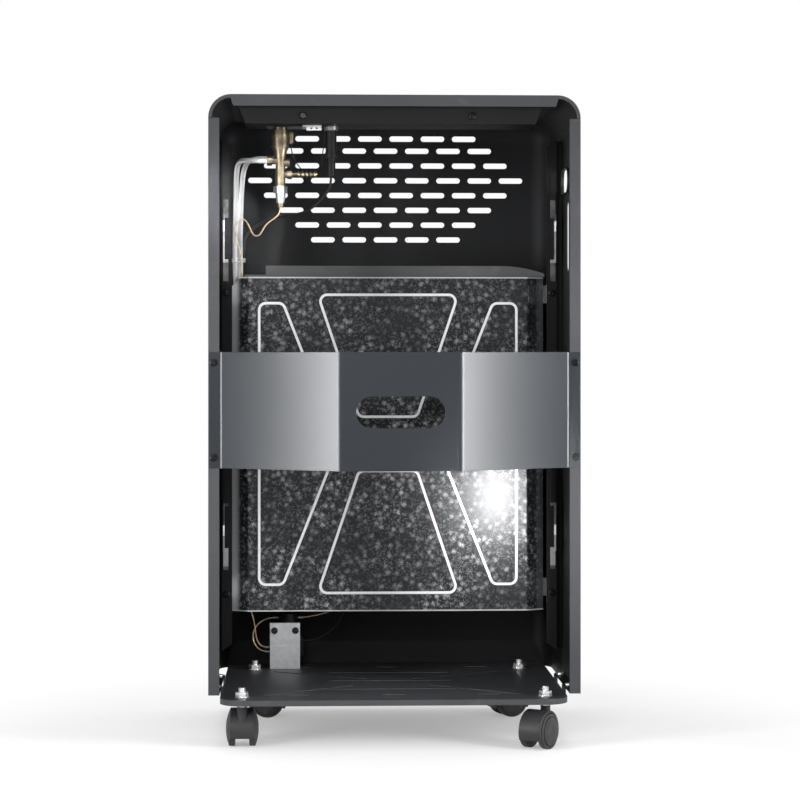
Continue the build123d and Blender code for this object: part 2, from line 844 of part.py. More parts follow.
def burner_frame():
    """The plate that holds the three plaques against their pans."""
    half = plaque_pitch + plaque_width / 2 + frame_border
    tall = plaque_height / 2 + frame_border
    front = plaque_y - plaque_thick
    face = block(-half, half, front - frame_sheet, front, window_level - tall, window_level + tall)
    for x in plaque_places():
        face -= pane_y(x, window_level, plaque_width - 8, plaque_height - 8, 3, front - 3, front + 1)
    wall = block(-half, half, front, plaque_y, window_level - tall, window_level + tall)
    wall -= block(-half + frame_sheet, half - frame_sheet, front - 1, plaque_y + 1,
                  window_level - tall + frame_sheet, window_level + tall - frame_sheet)
    arm_low = window_level + tall - frame_sheet
    arms = []
    for x in (-half + 12, half - 12):
        arms.append(block(x - 8, x + 8, plaque_y - frame_sheet, plaque_y, arm_low, housing_high - sheet))
    frame = face + wall
    for arm in arms:
        frame += arm
    return frame


def burner_pan(x):
    """One plaque's pan with the mixing tube that feeds it from below."""
    half = plaque_width / 2
    z0 = window_level - plaque_height / 2
    z1 = window_level + plaque_height / 2
    back = plaque_y + pan_depth
    pan = block(x - half, x + half, plaque_y, back, z0, z1)
    pan = fillet(pan.edges().filter_by(Axis.Y), 6)
    center = plaque_y + pan_depth / 2
    reach = pan_depth / 2 - 0.5
    tube = post(x, center, mixer_low, z0 + 20, reach)
    flare = cone(x, center, mixer_low - 12, mixer_low, mixer_radius + 1, reach)
    solid = pan + tube + flare
    hollow = block(x - half + pan_wall, x + half - pan_wall, plaque_y - 1, back - pan_wall,
                   z0 + pan_wall, z1 - pan_wall)
    solid -= fillet(hollow.edges().filter_by(Axis.Y), 5)
    solid -= post(x, center, mixer_low, z0 + 20, reach - pan_wall)
    return solid - cone(x, center, mixer_low - 12, mixer_low, mixer_radius, reach - pan_wall)


def mixer_y():
    """The mixing tubes' axis."""
    return plaque_y + pan_depth / 2


def gas_manifold():
    """The rail that feeds the three injectors, closed at its far end."""
    y = mixer_y()
    rail = pin_x(y, manifold_level, -manifold_half, manifold_end, manifold_radius)
    bore = pin_x(y, manifold_level, -manifold_half + 3, manifold_end + 1, manifold_radius - 1.5)
    for x in plaque_places():
        rail += post(x, y, manifold_level, manifold_level + manifold_radius + 3, injector_radius + 2)
    rail -= bore
    for x in plaque_places():
        rail -= post(x, y, manifold_level, manifold_level + manifold_radius + 4, injector_radius)
    return rail


def injectors():
    """The three brass jets, standing in the rail's bosses."""
    jets = []
    for x in plaque_places():
        low = manifold_level + manifold_radius
        seat = low + 3
        jet = post(x, mixer_y(), low, seat, injector_radius - 0.02)
        jet += hexagon(x, mixer_y(), seat, seat + 4, 9)
        jet += cone(x, mixer_y(), seat + 4, low + injector_height, injector_radius - 1, 1.6)
        jets.append(jet - post(x, mixer_y(), low - 1, low + injector_height + 1, 0.6))
    return group(jets)


def reflector():
    """The bright frame between the plaques and the window."""
    inner_half = plaque_pitch + plaque_width / 2 + frame_border - reflector_lap
    inner_tall = plaque_height / 2 + frame_border - reflector_lap
    outer_half = window_width / 2 - 1.5
    outer_tall = window_height / 2 - 1.5
    back = plaque_y - plaque_thick - frame_sheet
    front = front_y + window_rim + 0.6
    outer = loft([pane_face(inner_half, inner_tall, back), pane_face(outer_half, outer_tall, front)])
    cut = loft([pane_face(inner_half - sheet, inner_tall - sheet, back + 0.01),
                pane_face(outer_half - sheet, outer_tall - sheet, front - 0.01)])
    notch = block(pilot_x - 2 * pilot_pitch, pilot_x + 2 * pilot_pitch, front - 1, back + 1,
                  window_level - outer_tall - 1, window_level - inner_tall + 8)
    return outer - cut - notch


def pane_face(half, tall, y):
    """A rounded rectangle that faces along Y, at the window's level."""
    return Pos(0, y, window_level) * Rot(-90, 0, 0) * RectangleRounded(2 * half, 2 * tall, 6)


def front_grille():
    """The welded wire guard, set inside the window's rim."""
    y = guard_y()
    half = guard_half()
    tall = window_height / 2 - guard_gap - guard_wire
    guard = pin_x(y, window_level - tall, -half, half, guard_wire)
    guard += pin_x(y, window_level + tall, -half, half, guard_wire)
    for x in (-half, half):
        guard += post(x, y, window_level - tall, window_level + tall, guard_wire)
        for z in (window_level - tall, window_level + tall):
            guard += Pos(x, y, z) * Sphere(guard_wire)
    for row in range(1, guard_rows + 1):
        level = window_level - tall + row * 2 * tall / (guard_rows + 1)
        guard += pin_x(y, level, -half, half, guard_wire)
    reach = window_height / 2 + 2.5 * sheet
    for x in guard_post_places():
        guard += post(x, guard_post_y(), window_level - reach, window_level + reach, guard_wire)
    return guard


def guard_y():
    """The plane of the guard's cross wires."""
    return front_y + window_rim / 2 - 0.4


def guard_post_y():
    """The plane of the guard's uprights, which are welded behind the cross wires."""
    return guard_y() + guard_wire * 1.6


def guard_half():
    """Half the guard's width, to the middle of its wire."""
    return window_width / 2 - guard_gap - guard_wire


def guard_post_places():
    """The guard's uprights along X. Their ends stand in holes of the window's rim."""
    step = 2 * guard_half() / (guard_posts + 1)
    return [-guard_half() + column * step for column in range(1, guard_posts + 1)]


# ---------------------------------------------------------------- pilot

def pilot_bracket():
    """The plate that holds the pilot, the probe and the electrode under the plaques."""
    half = 1.9 * pilot_pitch
    z = pilot_plate_level
    edge = plaque_y - plaque_thick - frame_sheet
    low_edge = window_level - plaque_height / 2 - frame_border
    plate = block(pilot_x - half, pilot_x + half, pilot_y - 7, edge, z, z + 1.5)
    plate += block(pilot_x + half - 5, pilot_x + half, edge - 1.5, edge, z, low_edge + 4)
    for step, radius in ((-pilot_pitch, spark_radius), (0, pilot_radius), (pilot_pitch, probe_radius)):
        plate -= post(pilot_x + step, pilot_y, z - 1, z + 3, radius + 0.05)
    return plate


def pilot_burner():
    """The pilot's brass tube and slotted hood."""
    tube = post(pilot_x, pilot_y, pilot_low, pilot_high, pilot_radius)
    tube += hexagon(pilot_x, pilot_y, pilot_low, pilot_low + 6, 11)
    tube -= post(pilot_x, pilot_y, pilot_low - 1, pilot_high - 1.5, pilot_radius - 1.2)
    slot = block(pilot_x - 5, pilot_x + 5, pilot_y - 1, pilot_y + 1, pilot_high - 9, pilot_high - 4)
    return tube - slot


def spark_electrode():
    """The white ceramic insulator with its bent spark wire."""
    x = pilot_x - pilot_pitch
    body = post(x, pilot_y, pilot_low - 5, spark_high, spark_radius)
    body += post(x, pilot_y, pilot_plate_level + 1.5, pilot_plate_level + 5, spark_radius + 1.6)
    return body + post(x, pilot_y, spark_high - 1, spark_high + 10, 0.9)


def thermocouple_probe():
    """The probe that sits in the pilot's flame."""
    x = pilot_x + pilot_pitch
    probe = post(x, pilot_y, pilot_low - 5, probe_high, probe_radius)
    probe += post(x, pilot_y, pilot_plate_level + 1.5, pilot_plate_level + 7, probe_radius + 1.8)
    return probe + cone(x, pilot_y, probe_high, probe_high + 4, probe_radius, 1)


# ---------------------------------------------------------------- gas valve

def valve_bracket():
    """The plate under the tray that the valve and the igniter are held by, with its drilled rear tab."""
    x0 = igniter_x + igniter_flange_radius + 3
    x1 = valve_x + bracket_half_depth - 2
    low = tray_floor - bracket_sheet
    plate = block(x0, x1, valve_y - bracket_half_depth, valve_y + bracket_half_depth, low, tray_floor)
    tab = block(x0, x0 + 17, valve_y + bracket_half_depth - bracket_sheet, valve_y + bracket_half_depth,
                collar_top - 0.5, tray_floor)
    for step in (5.5, 11.5):
        tab -= pin_y(x0 + step, collar_top + 2, valve_y + 10, valve_y + 20, 1.2)
    return plate + tab - post(valve_x, valve_y, low - 1, tray_floor + 1, thread_radius + hole_gap)


def valve_body():
    """The brass valve: threaded neck, collar with its ear, cone, body, two outlets and two bosses."""
    x, y = valve_x, valve_y
    top = tray_floor - bracket_sheet
    body = post(x, y, collar_top - 1, tray_floor + sheet + locknut_height + 0.4, thread_radius)
    body += post(x, y, collar_top - 1, top, thread_radius + 2)
    body += post(x, y, collar_top - collar_height, collar_top, valve_collar_radius)
    low = collar_top - collar_height
    body += post(x, y, low - 3.2, low - 2, ring_radius)
    body += post(x, y, low - 6.2, low, valve_collar_radius - 0.6)
    body += cone(x, y, cone_low, low - 6.2, valve_body_radius, valve_collar_radius - 1.6)
    body += post(x, y, valve_low, cone_low, valve_body_radius)
    ear_x = x - valve_collar_radius - ear_boss_reach
    body += post(ear_x, y, low + 1, collar_top - 1.5, 3.2)
    body += block(ear_x, x, y - 2, y + 2, low + 2, collar_top - 3)
    body += pin_x(y, outlet_level, x, x + outlet_start(), outlet_radius)
    body += pin_x(y, outlet_level - 2, x - 10.5, x, outlet_radius + 0.8)
    body += pin_y(x, pilot_port_level, y - outlet_start(), y, outlet_radius)
    body += pin_x(y, hose_level, x - valve_body_radius - 2.5, x, hose_barb_radius)
    body -= post(x, y, tray_floor - bore_drop, tray_floor + 20, bore_radius)
    return body - pin_x(y, hose_level, x - 20, x, hose_bore_radius)


def outlet_start():
    """How far the left outlet stands out from the valve's axis."""
    return valve_body_radius + 4.0


def valve_nut():
    """The zinc union nut under the valve."""
    x, y = valve_x, valve_y
    nut = hexagon(x, y, valve_low - hex_height, valve_low, hex_flats)
    low = valve_low - hex_height - ferrule_height
    nut += cone(x, y, low, valve_low - hex_height, 4.4, 6.0)
    return nut - post(x, y, low - 1, low + 3, tip_radius + 0.03)


def thermocouple_nut():
    """The brass end piece that the lead comes out of."""
    low = valve_low - hex_height - ferrule_height
    tip = post(valve_x, valve_y, low - tip_height, low + 3, tip_radius)
    tip += post(valve_x, valve_y, low - tip_height + 1, low - 0.6, tip_radius + 0.5)
    end = low - tip_height
    return tip - post(valve_x, valve_y, end - 1, end + 2, probe_lead_radius + 0.02)


def hose_nozzle():
    """The ribbed nozzle that the gas hose slips on."""
    start = valve_x - valve_body_radius - 2.5
    end = valve_x - hose_reach
    nozzle = pin_x(valve_y, hose_level, end, start, hose_radius)
    turn = Pos(start - 5, valve_y, hose_level) * Rot(0, 90, 0)
    nozzle += turn * extrude(RegularPolygon(5, 6, major_radius=False), 5)
    ridge = Cone(hose_radius, hose_barb_radius, barb_pitch * 0.8, align=(Align.CENTER, Align.CENTER, grow))
    for index in range(barb_count):
        nozzle += Pos(end + index * barb_pitch, valve_y, hose_level) * Rot(0, 90, 0) * ridge
    return nozzle - pin_x(valve_y, hose_level, end - 1, start + 1, hose_bore_radius)


def outlet_nuts():
    """The nuts that hold the gas tubes to the valve's two outlets and to the burner rail."""
    start = valve_x + outlet_start()
    turn = Rot(0, 90, 0)
    nut = Pos(start, valve_y, outlet_level) * turn * extrude(RegularPolygon(5, 6, major_radius=False), 6)
    nut -= pin_x(valve_y, outlet_level, start - 1, start + 7, tube_radius + 0.05)
    end = manifold_end
    other = turn * extrude(RegularPolygon(7, 6, major_radius=False), 9)
    other = Pos(end, mixer_y(), manifold_level) * other
    other -= pin_x(mixer_y(), manifold_level, end - 1, end + 10, tube_radius + 0.05)
    port = Pos(valve_x, valve_y - outlet_start(), pilot_port_level) * Rot(90, 0, 0)
    third = port * extrude(RegularPolygon(5, 6, major_radius=False), 6)
    third -= pin_y(valve_x, pilot_port_level, valve_y - outlet_start() - 7, valve_y, tube_radius + 0.05)
    return group([nut, third, other])


def control_nuts():
    """The valve's thin nut inside the well and the igniter's pale ring nut under it."""
    low = tray_floor + sheet
    nut = hexagon(valve_x, valve_y, low, low + locknut_height, locknut_flats)
    nut -= post(valve_x, valve_y, low - 1, low + locknut_height + 1, thread_radius + 0.03)
    low = tray_floor - igniter_nut_height - igniter_nut_step
    ring = post(igniter_x, valve_y, low, tray_floor, igniter_flange_radius)
    ring = chamfer(ring.edges().group_by(Axis.Z)[0], 0.8)
    return group([nut, ring - post(igniter_x, valve_y, low - 1, tray_floor + 1, igniter_radius + 0.03)])


def plunger_top():
    """Where the plunger meets the spindle."""
    return cone_low + 6.0


def valve_plunger():
    """The plunger that the pushed knob drives down the valve's bore."""
    top = plunger_top()
    plunger = post(valve_x, valve_y, top - plunger_length, top, bore_radius - spindle_gap)
    groove = post(valve_x, valve_y, top - 8, top - 6, bore_radius + 1)
    return plunger - (groove - post(valve_x, valve_y, top - 8, top - 6, 3.2))


def knob_low():
    """The lower edge of the knob, clear of the neck by its travel."""
    return tray_floor + sheet + locknut_height + 0.4 + knob_travel + 0.6


def valve_spindle():
    """The spindle, round in the valve and flat sided in the knob."""
    low = plunger_top() + 0.1
    top = knob_low() + knob_height - 4
    spindle = post(valve_x, valve_y, low, knob_low() + 1, bore_radius - spindle_gap)
    spindle += post(valve_x, valve_y, knob_low(), top, spindle_radius)
    flat = valve_x + spindle_radius * 0.6
    return spindle - block(flat, valve_x + 9, valve_y - 9, valve_y + 9, knob_low() + 2, top + 1)


def control_knob():
    """The knob, with a skirt, a fluted grip and a pointer."""
    low = knob_low()
    x, y = valve_x, valve_y
    knob = post(x, y, low, low + skirt_height, knob_radius)
    knob = chamfer(knob.edges().group_by(Axis.Z)[-1], 2)
    grip = post(x, y, low + 1, low + knob_height, grip_radius)
    grip = chamfer(grip.edges().group_by(Axis.Z)[-1], 1.2)
    flutes = []
    for index in range(grip_flutes):
        angle = 2 * pi * index / grip_flutes
        flutes.append(post(x + (grip_radius + 1.6) * cos(angle), y + (grip_radius + 1.6) * sin(angle),
                           low + skirt_height, low + knob_height + 1, 2.6))
    knob += grip - flutes
    pointer_low = low + skirt_height - 1
    knob += block(x - 1.2, x + 1.2, y + 2, y + grip_radius + 4.5, pointer_low, pointer_low + 3)
    hub = post(x, y, low - 1, low + 2, bore_radius + 0.2)
    bore = post(x, y, low - 1, low + knob_height - 3.9, spindle_radius + spindle_gap)
    bore -= block(x + spindle_radius * 0.6 + spindle_gap, x + 9, y - 9, y + 9, low + 2, low + knob_height)
    return knob - hub - bore


# ---------------------------------------------------------------- igniter

def igniter_top():
    """The top face of the igniter's collar inside the well."""
    return tray_floor + sheet + 3.0


def igniter_body():
    """The piezo igniter: collar, barrel, knurled ring and tail, bored for its button."""
    x, y = igniter_x, valve_y
    body = post(x, y, tray_floor + sheet, igniter_top(), igniter_flange_radius)
    body += post(x, y, igniter_knurl_high, igniter_top(), igniter_radius)
    ring = post(x, y, igniter_knurl_low, igniter_knurl_high, igniter_radius + 0.9)
    notches = []
    reach = igniter_radius + 1.2
    for index in range(igniter_notches):
        angle = 2 * pi * index / igniter_notches
        notch_x = x + reach * cos(angle)
        notch_y = y + reach * sin(angle)
        notches.append(post(notch_x, notch_y, igniter_knurl_low - 1, igniter_knurl_high + 1, 0.5))
    body += ring - notches
    body += post(x, y, igniter_low, igniter_knurl_low, igniter_tail_radius)
    return body - post(x, y, spring_low(), igniter_top() + 1, button_radius + spindle_gap)


def spring_low():
    """The floor of the igniter's bore."""
    return igniter_knurl_high + 2.0


def spring_high():
    """The lower end of the button's stem."""
    return spring_low() + 16.0


def igniter_button():
    """The button: a stem in the barrel and a domed cap."""
    x, y = igniter_x, valve_y
    cap_low = igniter_top() + button_travel + 0.5
    stem = post(x, y, spring_high(), cap_low + 1, button_radius)
    cap = post(x, y, cap_low, cap_low + 8, button_cap_radius)
    cap = fillet(cap.edges().group_by(Axis.Z)[-1], 2.4)
    return stem + cap


def igniter_spring():
    """The return spring under the button, one wire along a helix."""
    low = spring_low() + spring_wire
    tall = spring_high() - spring_low() - 2 * spring_wire
    path = Helix(tall / spring_turns, tall, spring_radius)
    section = Plane(origin=path @ 0, z_dir=path % 0) * Circle(spring_wire)
    return Pos(igniter_x, valve_y, low) * sweep(section, path=path)


# ---------------------------------------------------------------- tubes and cords

def bend_radii(points):
    """The bend at each inner point of a route: 0.45 of its shorter run over half the turn's tangent."""
    radii = []
    for before, here, after in zip(points, points[1:], points[2:]):
        first = Vector(*here) - Vector(*before)
        second = Vector(*after) - Vector(*here)
        turn = radians(first.get_angle(second))
        radii.append(0.45 * min(first.length, second.length) / tan(turn / 2))
    return radii


def swept_tube(name, points, radius):
    """A round cord or tube along straight runs joined by arcs."""
    radii = bend_radii(points)
    path = FilletPolyline(*points, radius=radii)
    section = Plane(origin=path @ 0, z_dir=path % 0) * Circle(radius)
    tube = sweep(section, path=path)
    share = tube.volume / (pi * radius ** 2 * path.length)
    print(name, "least radius", round(min(radii), 1), "volume over section times length", round(share, 4))
    return tube


def hung(points):
    """Points given by how far they lie in from the left side, in from the rear and below the tray's floor."""
    return [(side - inset, rear_y - depth, tray_floor - drop) for inset, depth, drop in points]


def stood(points):
    """Points given by how far they lie in from the left side, in from the rear and above the ground."""
    return [(side - inset, rear_y - depth, level) for inset, depth, level in points]


def gas_tube_main():
    """The tube from the valve down beside the shield to the burner rail."""
    start = valve_x + outlet_start() + nut_gap
    route = [(start, valve_y, outlet_level), (start + main_start, valve_y, outlet_level)]
    route += hung([(45, 59, 38), (34, 85, 36), (29, 115, 40), (27, 137, 57), (26, 165, 86), (24, 197, 114),
                   (22.7, 231, 136), (22.5, 255, 165), (22.5, 259, 203)])
    route += stood([(22.4, 259, 405), (22.5, 259.6, 355), (22.5, 261, 308), (26, 268, 275), (38, 277, 258)])
    route.append((manifold_end + main_start, mixer_y(), manifold_level))
    route.append((manifold_end + nut_gap, mixer_y(), manifold_level))
    return swept_tube("gas_tube_main", route, tube_radius)


def gas_tube_pilot():
    """The tube from the valve's front port to the pilot, beside the main tube."""
    start = valve_y - outlet_start() - nut_gap
    route = [(valve_x, start, pilot_port_level), (valve_x, start - pilot_start, pilot_port_level)]
    route += hung([(72, 83, 34), (54, 91, 33), (41, 107, 35), (35.5, 130, 46), (33, 151, 67),
                   (31.5, 173, 92), (30, 199, 115), (29.2, 231, 136), (29, 255, 165), (29, 259, 203)])
    route += stood([(28.9, 259, 405), (29, 259.6, 358), (30, 263, 322), (39, 276, 298), (55, 289.5, 287),
                    (70, 297, 283), (81, 302.5, 282.5)])
    route += [(pilot_x, pilot_y, pilot_low - pilot_start), (pilot_x, pilot_y, pilot_low)]
    return swept_tube("gas_tube_pilot", route, tube_radius)


def cable_tie():
    """The pale tie round the two gas tubes, square to them."""
    middle = hung([(25.9, 239, 145.7)])[0]
    ring = Plane(origin=middle, x_dir=(1, 0, 0), z_dir=(0, -24, -29))
    wide = 4 * tube_radius + tube_gap
    outer = RectangleRounded(wide + 2.2, 2 * tube_radius + 2.2, tube_radius + 0.8)
    inner = RectangleRounded(wide + 0.4, 2 * tube_radius + 0.4, tube_radius)
    tie = Pos(0, 0, -1.3) * extrude(outer - inner, 2.6)
    head = Pos(-wide / 2 - 1.9, 0, 0) * Box(2.4, 4.0, 3.6)
    return ring * (tie + head)


def igniter_lead():
    """The black lead from the igniter to the spark electrode, behind the gas tubes."""
    route = [(igniter_x, valve_y, igniter_low), (igniter_x, valve_y, igniter_low - igniter_lead_start)]
    route += hung([(131.5, 50, 79), (123, 56, 88), (112, 64, 95), (100, 76, 98.5), (82.5, 92, 100),
                   (65, 111, 103), (51, 135, 109), (42, 160, 115), (36.5, 188, 121), (35.5, 215, 127),
                   (33.5, 237, 137), (30.5, 252, 153), (28.2, 265, 176), (27, 268, 208)])
    route += stood([(26.8, 268, 410), (27, 268.6, 362), (28, 270, 325), (31, 276, 298), (39, 288, 277),
                    (52, 301, 265), (68, 313, 261), (84, 317, 265), (95, 314, 275), (98, 309, 288)])
    route.append((pilot_x - pilot_pitch, pilot_y, pilot_low - 5))
    return swept_tube("igniter_lead", route, lead_radius)


def thermocouple_lead():
    """The copper lead from the valve, past the gas tubes, down behind the shield to the tilt switch."""
    tip = valve_low - hex_height - ferrule_height - tip_height
    route = [(valve_x, valve_y, tip + 2)]
    route += hung([(80.5, 46, 97), (76, 48.5, 103.5), (69, 54, 107.5), (63, 60, 112.5), (59.5, 63.2, 118.5),
                   (56, 66, 123.8), (50, 71, 124.2), (46.5, 75.2, 118.5), (43, 81, 110), (38.5, 89.5, 104),
                   (33, 100, 103), (28, 113, 107), (26, 128, 114), (26.5, 146, 122), (29, 171, 131),
                   (30.5, 199, 140), (30.5, 225, 148), (30, 244.5, 161), (29.5, 249.5, 182),
                   (29.5, 250, 213)])
    route += stood([(29.5, 250, 420), (29.6, 250.4, 378), (29.5, 250, 336), (29.6, 250.4, 294),
                    (29.5, 250, 252), (30, 250.5, 210), (33, 254, 170), (39, 261, 138), (44.5, 268, 120),
                    (46.5, 273.5, 106), (47.5, 276.5, 95), (51.5, 279.5, 86.5), (57.5, 281.2, 83)])
    route.append((tilt_left(), tilt_wire_y(), tilt_box_low + 9))
    return swept_tube("thermocouple_lead", route, probe_lead_radius)


def tilt_left():
    """The left face of the tilt switch."""
    return tilt_x + tilt_half - tilt_side_step


def tilt_wire_y():
    """The middle of the tilt switch's box, where its wires come in."""
    return tilt_y - tilt_box_depth / 2 - tilt_sheet


def probe_lead():
    """The copper lead from the tilt switch to the probe beside the pilot."""
    route = [(tilt_can_x - tilt_can_radius, tilt_can_y(), tilt_wire_level())]
    route += stood([(107, 282.3, 119.5), (118, 284.3, 121.5), (130, 286, 123.5), (142, 288, 128),
                    (151.5, 290, 140), (155.5, 290, 158), (154, 291, 178), (146, 292, 198), (132, 294, 218),
                    (114, 296, 234), (96, 300, 248), (82, 306, 262), (75, 309, 276), (74, 309, 289)])
    route.append((pilot_x + pilot_pitch, pilot_y, pilot_low - 5))
    return swept_tube("probe_lead", route, probe_lead_radius)


def tilt_wire_level():
    """Where the probe's lead leaves the switch's can."""
    return tilt_can_high - 5.7


def tilt_loop_wire():
    """The copper loop on the left of the tilt switch."""
    route = [(tilt_can_x + tilt_can_radius, tilt_can_y(), tilt_wire_level())]
    route += stood([(66.5, 282.3, 119.5), (58.5, 282.8, 117.5), (51, 283.8, 113), (45, 284.3, 105.5),
                    (43, 284.8, 96), (45, 285.3, 87), (50.5, 285.3, 80), (58, 285.2, 77)])
    route.append((tilt_left(), tilt_wire_y() - 4, tilt_box_low + 3))
    return swept_tube("tilt_loop_wire", route, probe_lead_radius)


def tilt_cable():
    """The black cable from the tilt switch up to the foot of the burner housing."""
    route = [(tilt_x - tilt_half + tilt_side_step - tilt_box_step, tilt_wire_y(), tilt_box_high - 5)]
    route += stood([(115.9, 281.2, 91), (125.9, 281.7, 94), (135.9, 282.2, 99.5), (144.9, 282.7, 107.5),
                    (152.4, 283.2, 118), (156.9, 283.2, 131), (158.9, 283.2, 147), (159.3, 280.2, 165),
                    (158.9, 273.2, 183), (159.1, 265.2, 200), (158.9, 248, 216),
                    (158.9, 247.4, housing_low)])
    return swept_tube("tilt_cable", route, cable_radius)


def earth_wire():
    """The thin earth wire between the igniter and the valve."""
    start = valve_x - valve_collar_radius - ear_boss_reach
    route = [(start, valve_y, collar_top - collar_height + 1.0)]
    route += hung([(92.6, 46, 26.4), (95.6, 52, 35), (100.6, 54, 44), (107.6, 56, 51.5), (115.6, 56, 55),
                   (123.6, 55, 52), (128.1, 52, 45), (128.6, 48, 36), (129.1, 46, 26)])
    end = igniter_x + igniter_radius + earth_radius + hole_gap
    ring_low = tray_floor - igniter_nut_height - igniter_nut_step
    route += [(end, valve_y, ring_low - 10), (end, valve_y, ring_low)]
    return swept_tube("earth_wire", route, earth_radius)


# ---------------------------------------------------------------- tilt switch

def tilt_screw_places():
    """The screws of the tilt switch along X."""
    return [tilt_x - tilt_screw_half, tilt_x + tilt_screw_half]


def tilt_can_y():
    """The axis of the switch's round can."""
    return tilt_y - tilt_sheet - tilt_can_radius - 0.5


def tilt_bracket():
    """The zinc plate that carries the tilt switch, with its foot on the base plate."""
    x0 = tilt_x - tilt_half
    x1 = tilt_x + tilt_half
    plate = block(x0, x1, tilt_y - tilt_sheet, tilt_y, base_top, tilt_high)
    plate += block(x0, x1, tilt_y - tilt_foot, tilt_y, base_top, base_top + tilt_sheet)
    for x in tilt_screw_places():
        plate -= post(x, tilt_y - tilt_foot * 0.6, base_top - 1, base_top + 3, screw_radius + hole_gap)
        plate -= pin_y(x, tilt_high - tilt_screw_drop, tilt_y - 3, tilt_y + 1, screw_radius + hole_gap)
    return plate


def tilt_switch_body():
    """The black switch: a box on the back of the plate and a round can on top."""
    back = tilt_y - tilt_sheet
    edge = tilt_x - tilt_half + tilt_side_step
    x0 = edge - tilt_box_step
    box = block(x0, tilt_left(), back - tilt_box_depth, back, tilt_box_low, tilt_high - 2)
    box -= block(x0 - 1, edge, back - tilt_box_depth - 1, back + 1, tilt_box_high, tilt_high)
    box = chamfer(box.edges().filter_by(Axis.Z).group_by(Axis.Y)[0], 1.0)
    box += post(tilt_can_x, tilt_can_y(), tilt_high - 4, tilt_can_high, tilt_can_radius)
    for x in tilt_screw_places():
        box -= pin_y(x, tilt_high - tilt_screw_drop, back - 8, back + 1, screw_radius + hole_gap)
    return box


# ---------------------------------------------------------------- castors

def castor_stem(x, y):
    """A threaded stem with the collar under the floor."""
    stem = post(x, y, 24, base_top + nut_height + 5, stem_radius)
    return stem + post(x, y, castor_height, base_top - base_sheet, collar_radius)


def castor_nut(x, y):
    """The hexagon nut on a stem, over a washer."""
    nut = post(x, y, base_top, base_top + 1, nut_flats * 0.62)
    nut += hexagon(x, y, base_top + 1, base_top + nut_height, nut_flats)
    return nut - post(x, y, base_top - 1, base_top + nut_height + 1, stem_radius + 0.02)


def castor_half():
    """Half the width of a castor at its axle."""
    return web_width / 2 + wheel_width + 0.6


def castor_barrel():
    """The space between a castor's two domed sides."""
    center = castor_half() - castor_bulge
    left = Pos(-castor_trail, center, wheel_radius) * Sphere(castor_bulge)
    right = Pos(-castor_trail, -center, wheel_radius) * Sphere(castor_bulge)
    return left & right


def castor_fork():
    """A castor's body, its stem at the origin: neck, web between the wheels and the hood over them."""
    neck_top = castor_height - neck_gap
    half = castor_half()
    inside = wheel_radius + hood_gap
    web = pin_y(-castor_trail, wheel_radius, -web_width / 2, web_width / 2, inside + 0.5)
    hood = pin_y(-castor_trail, wheel_radius, -half, half, inside + hood_wall)
    hood -= pin_y(-castor_trail, wheel_radius, -half - 1, half + 1, inside)
    fork = web + (hood & castor_barrel())
    fork &= block(-3 * wheel_radius, 2 * wheel_radius, -half, half, hood_low, castor_height)
    fork += post(0, 0, hood_low + 3, neck_top, neck_radius)
    fork -= post(0, 0, 22, neck_top + 1, stem_radius + spindle_gap)
    return fork - pin_y(-castor_trail, wheel_radius, -half, half, axle_radius + spindle_gap)


def castor_wheelset():
    """A castor's two wheels, each with its round cap, and the axle that joins them."""
    inner = web_width / 2 + 0.4
    wheels = pin_y(-castor_trail, wheel_radius, -inner - 1, inner + 1, axle_radius)
    for way in (1, -1):
        outside = way * (inner + wheel_width)
        y0, y1 = sorted((way * inner, outside))
        wheel = pin_y(-castor_trail, wheel_radius, y0, y1, wheel_radius)
        wheel = fillet(wheel.edges(), 0.8) & castor_barrel()
        groove0, groove1 = sorted((outside - way * 3.8, outside))
        groove = pin_y(-castor_trail, wheel_radius, groove0, groove1, wheel_radius - 2.8)
        groove -= pin_y(-castor_trail, wheel_radius, groove0, groove1, wheel_radius - 3.8)
        wheels += wheel - groove
    return wheels


def place_castor(shape, index):
    """Set a castor piece on its stem, turned as it stands."""
    x, y = castor_places()[index]
    return Pos(x, y, 0) * Rot(0, 0, castor_turns[index]) * shape


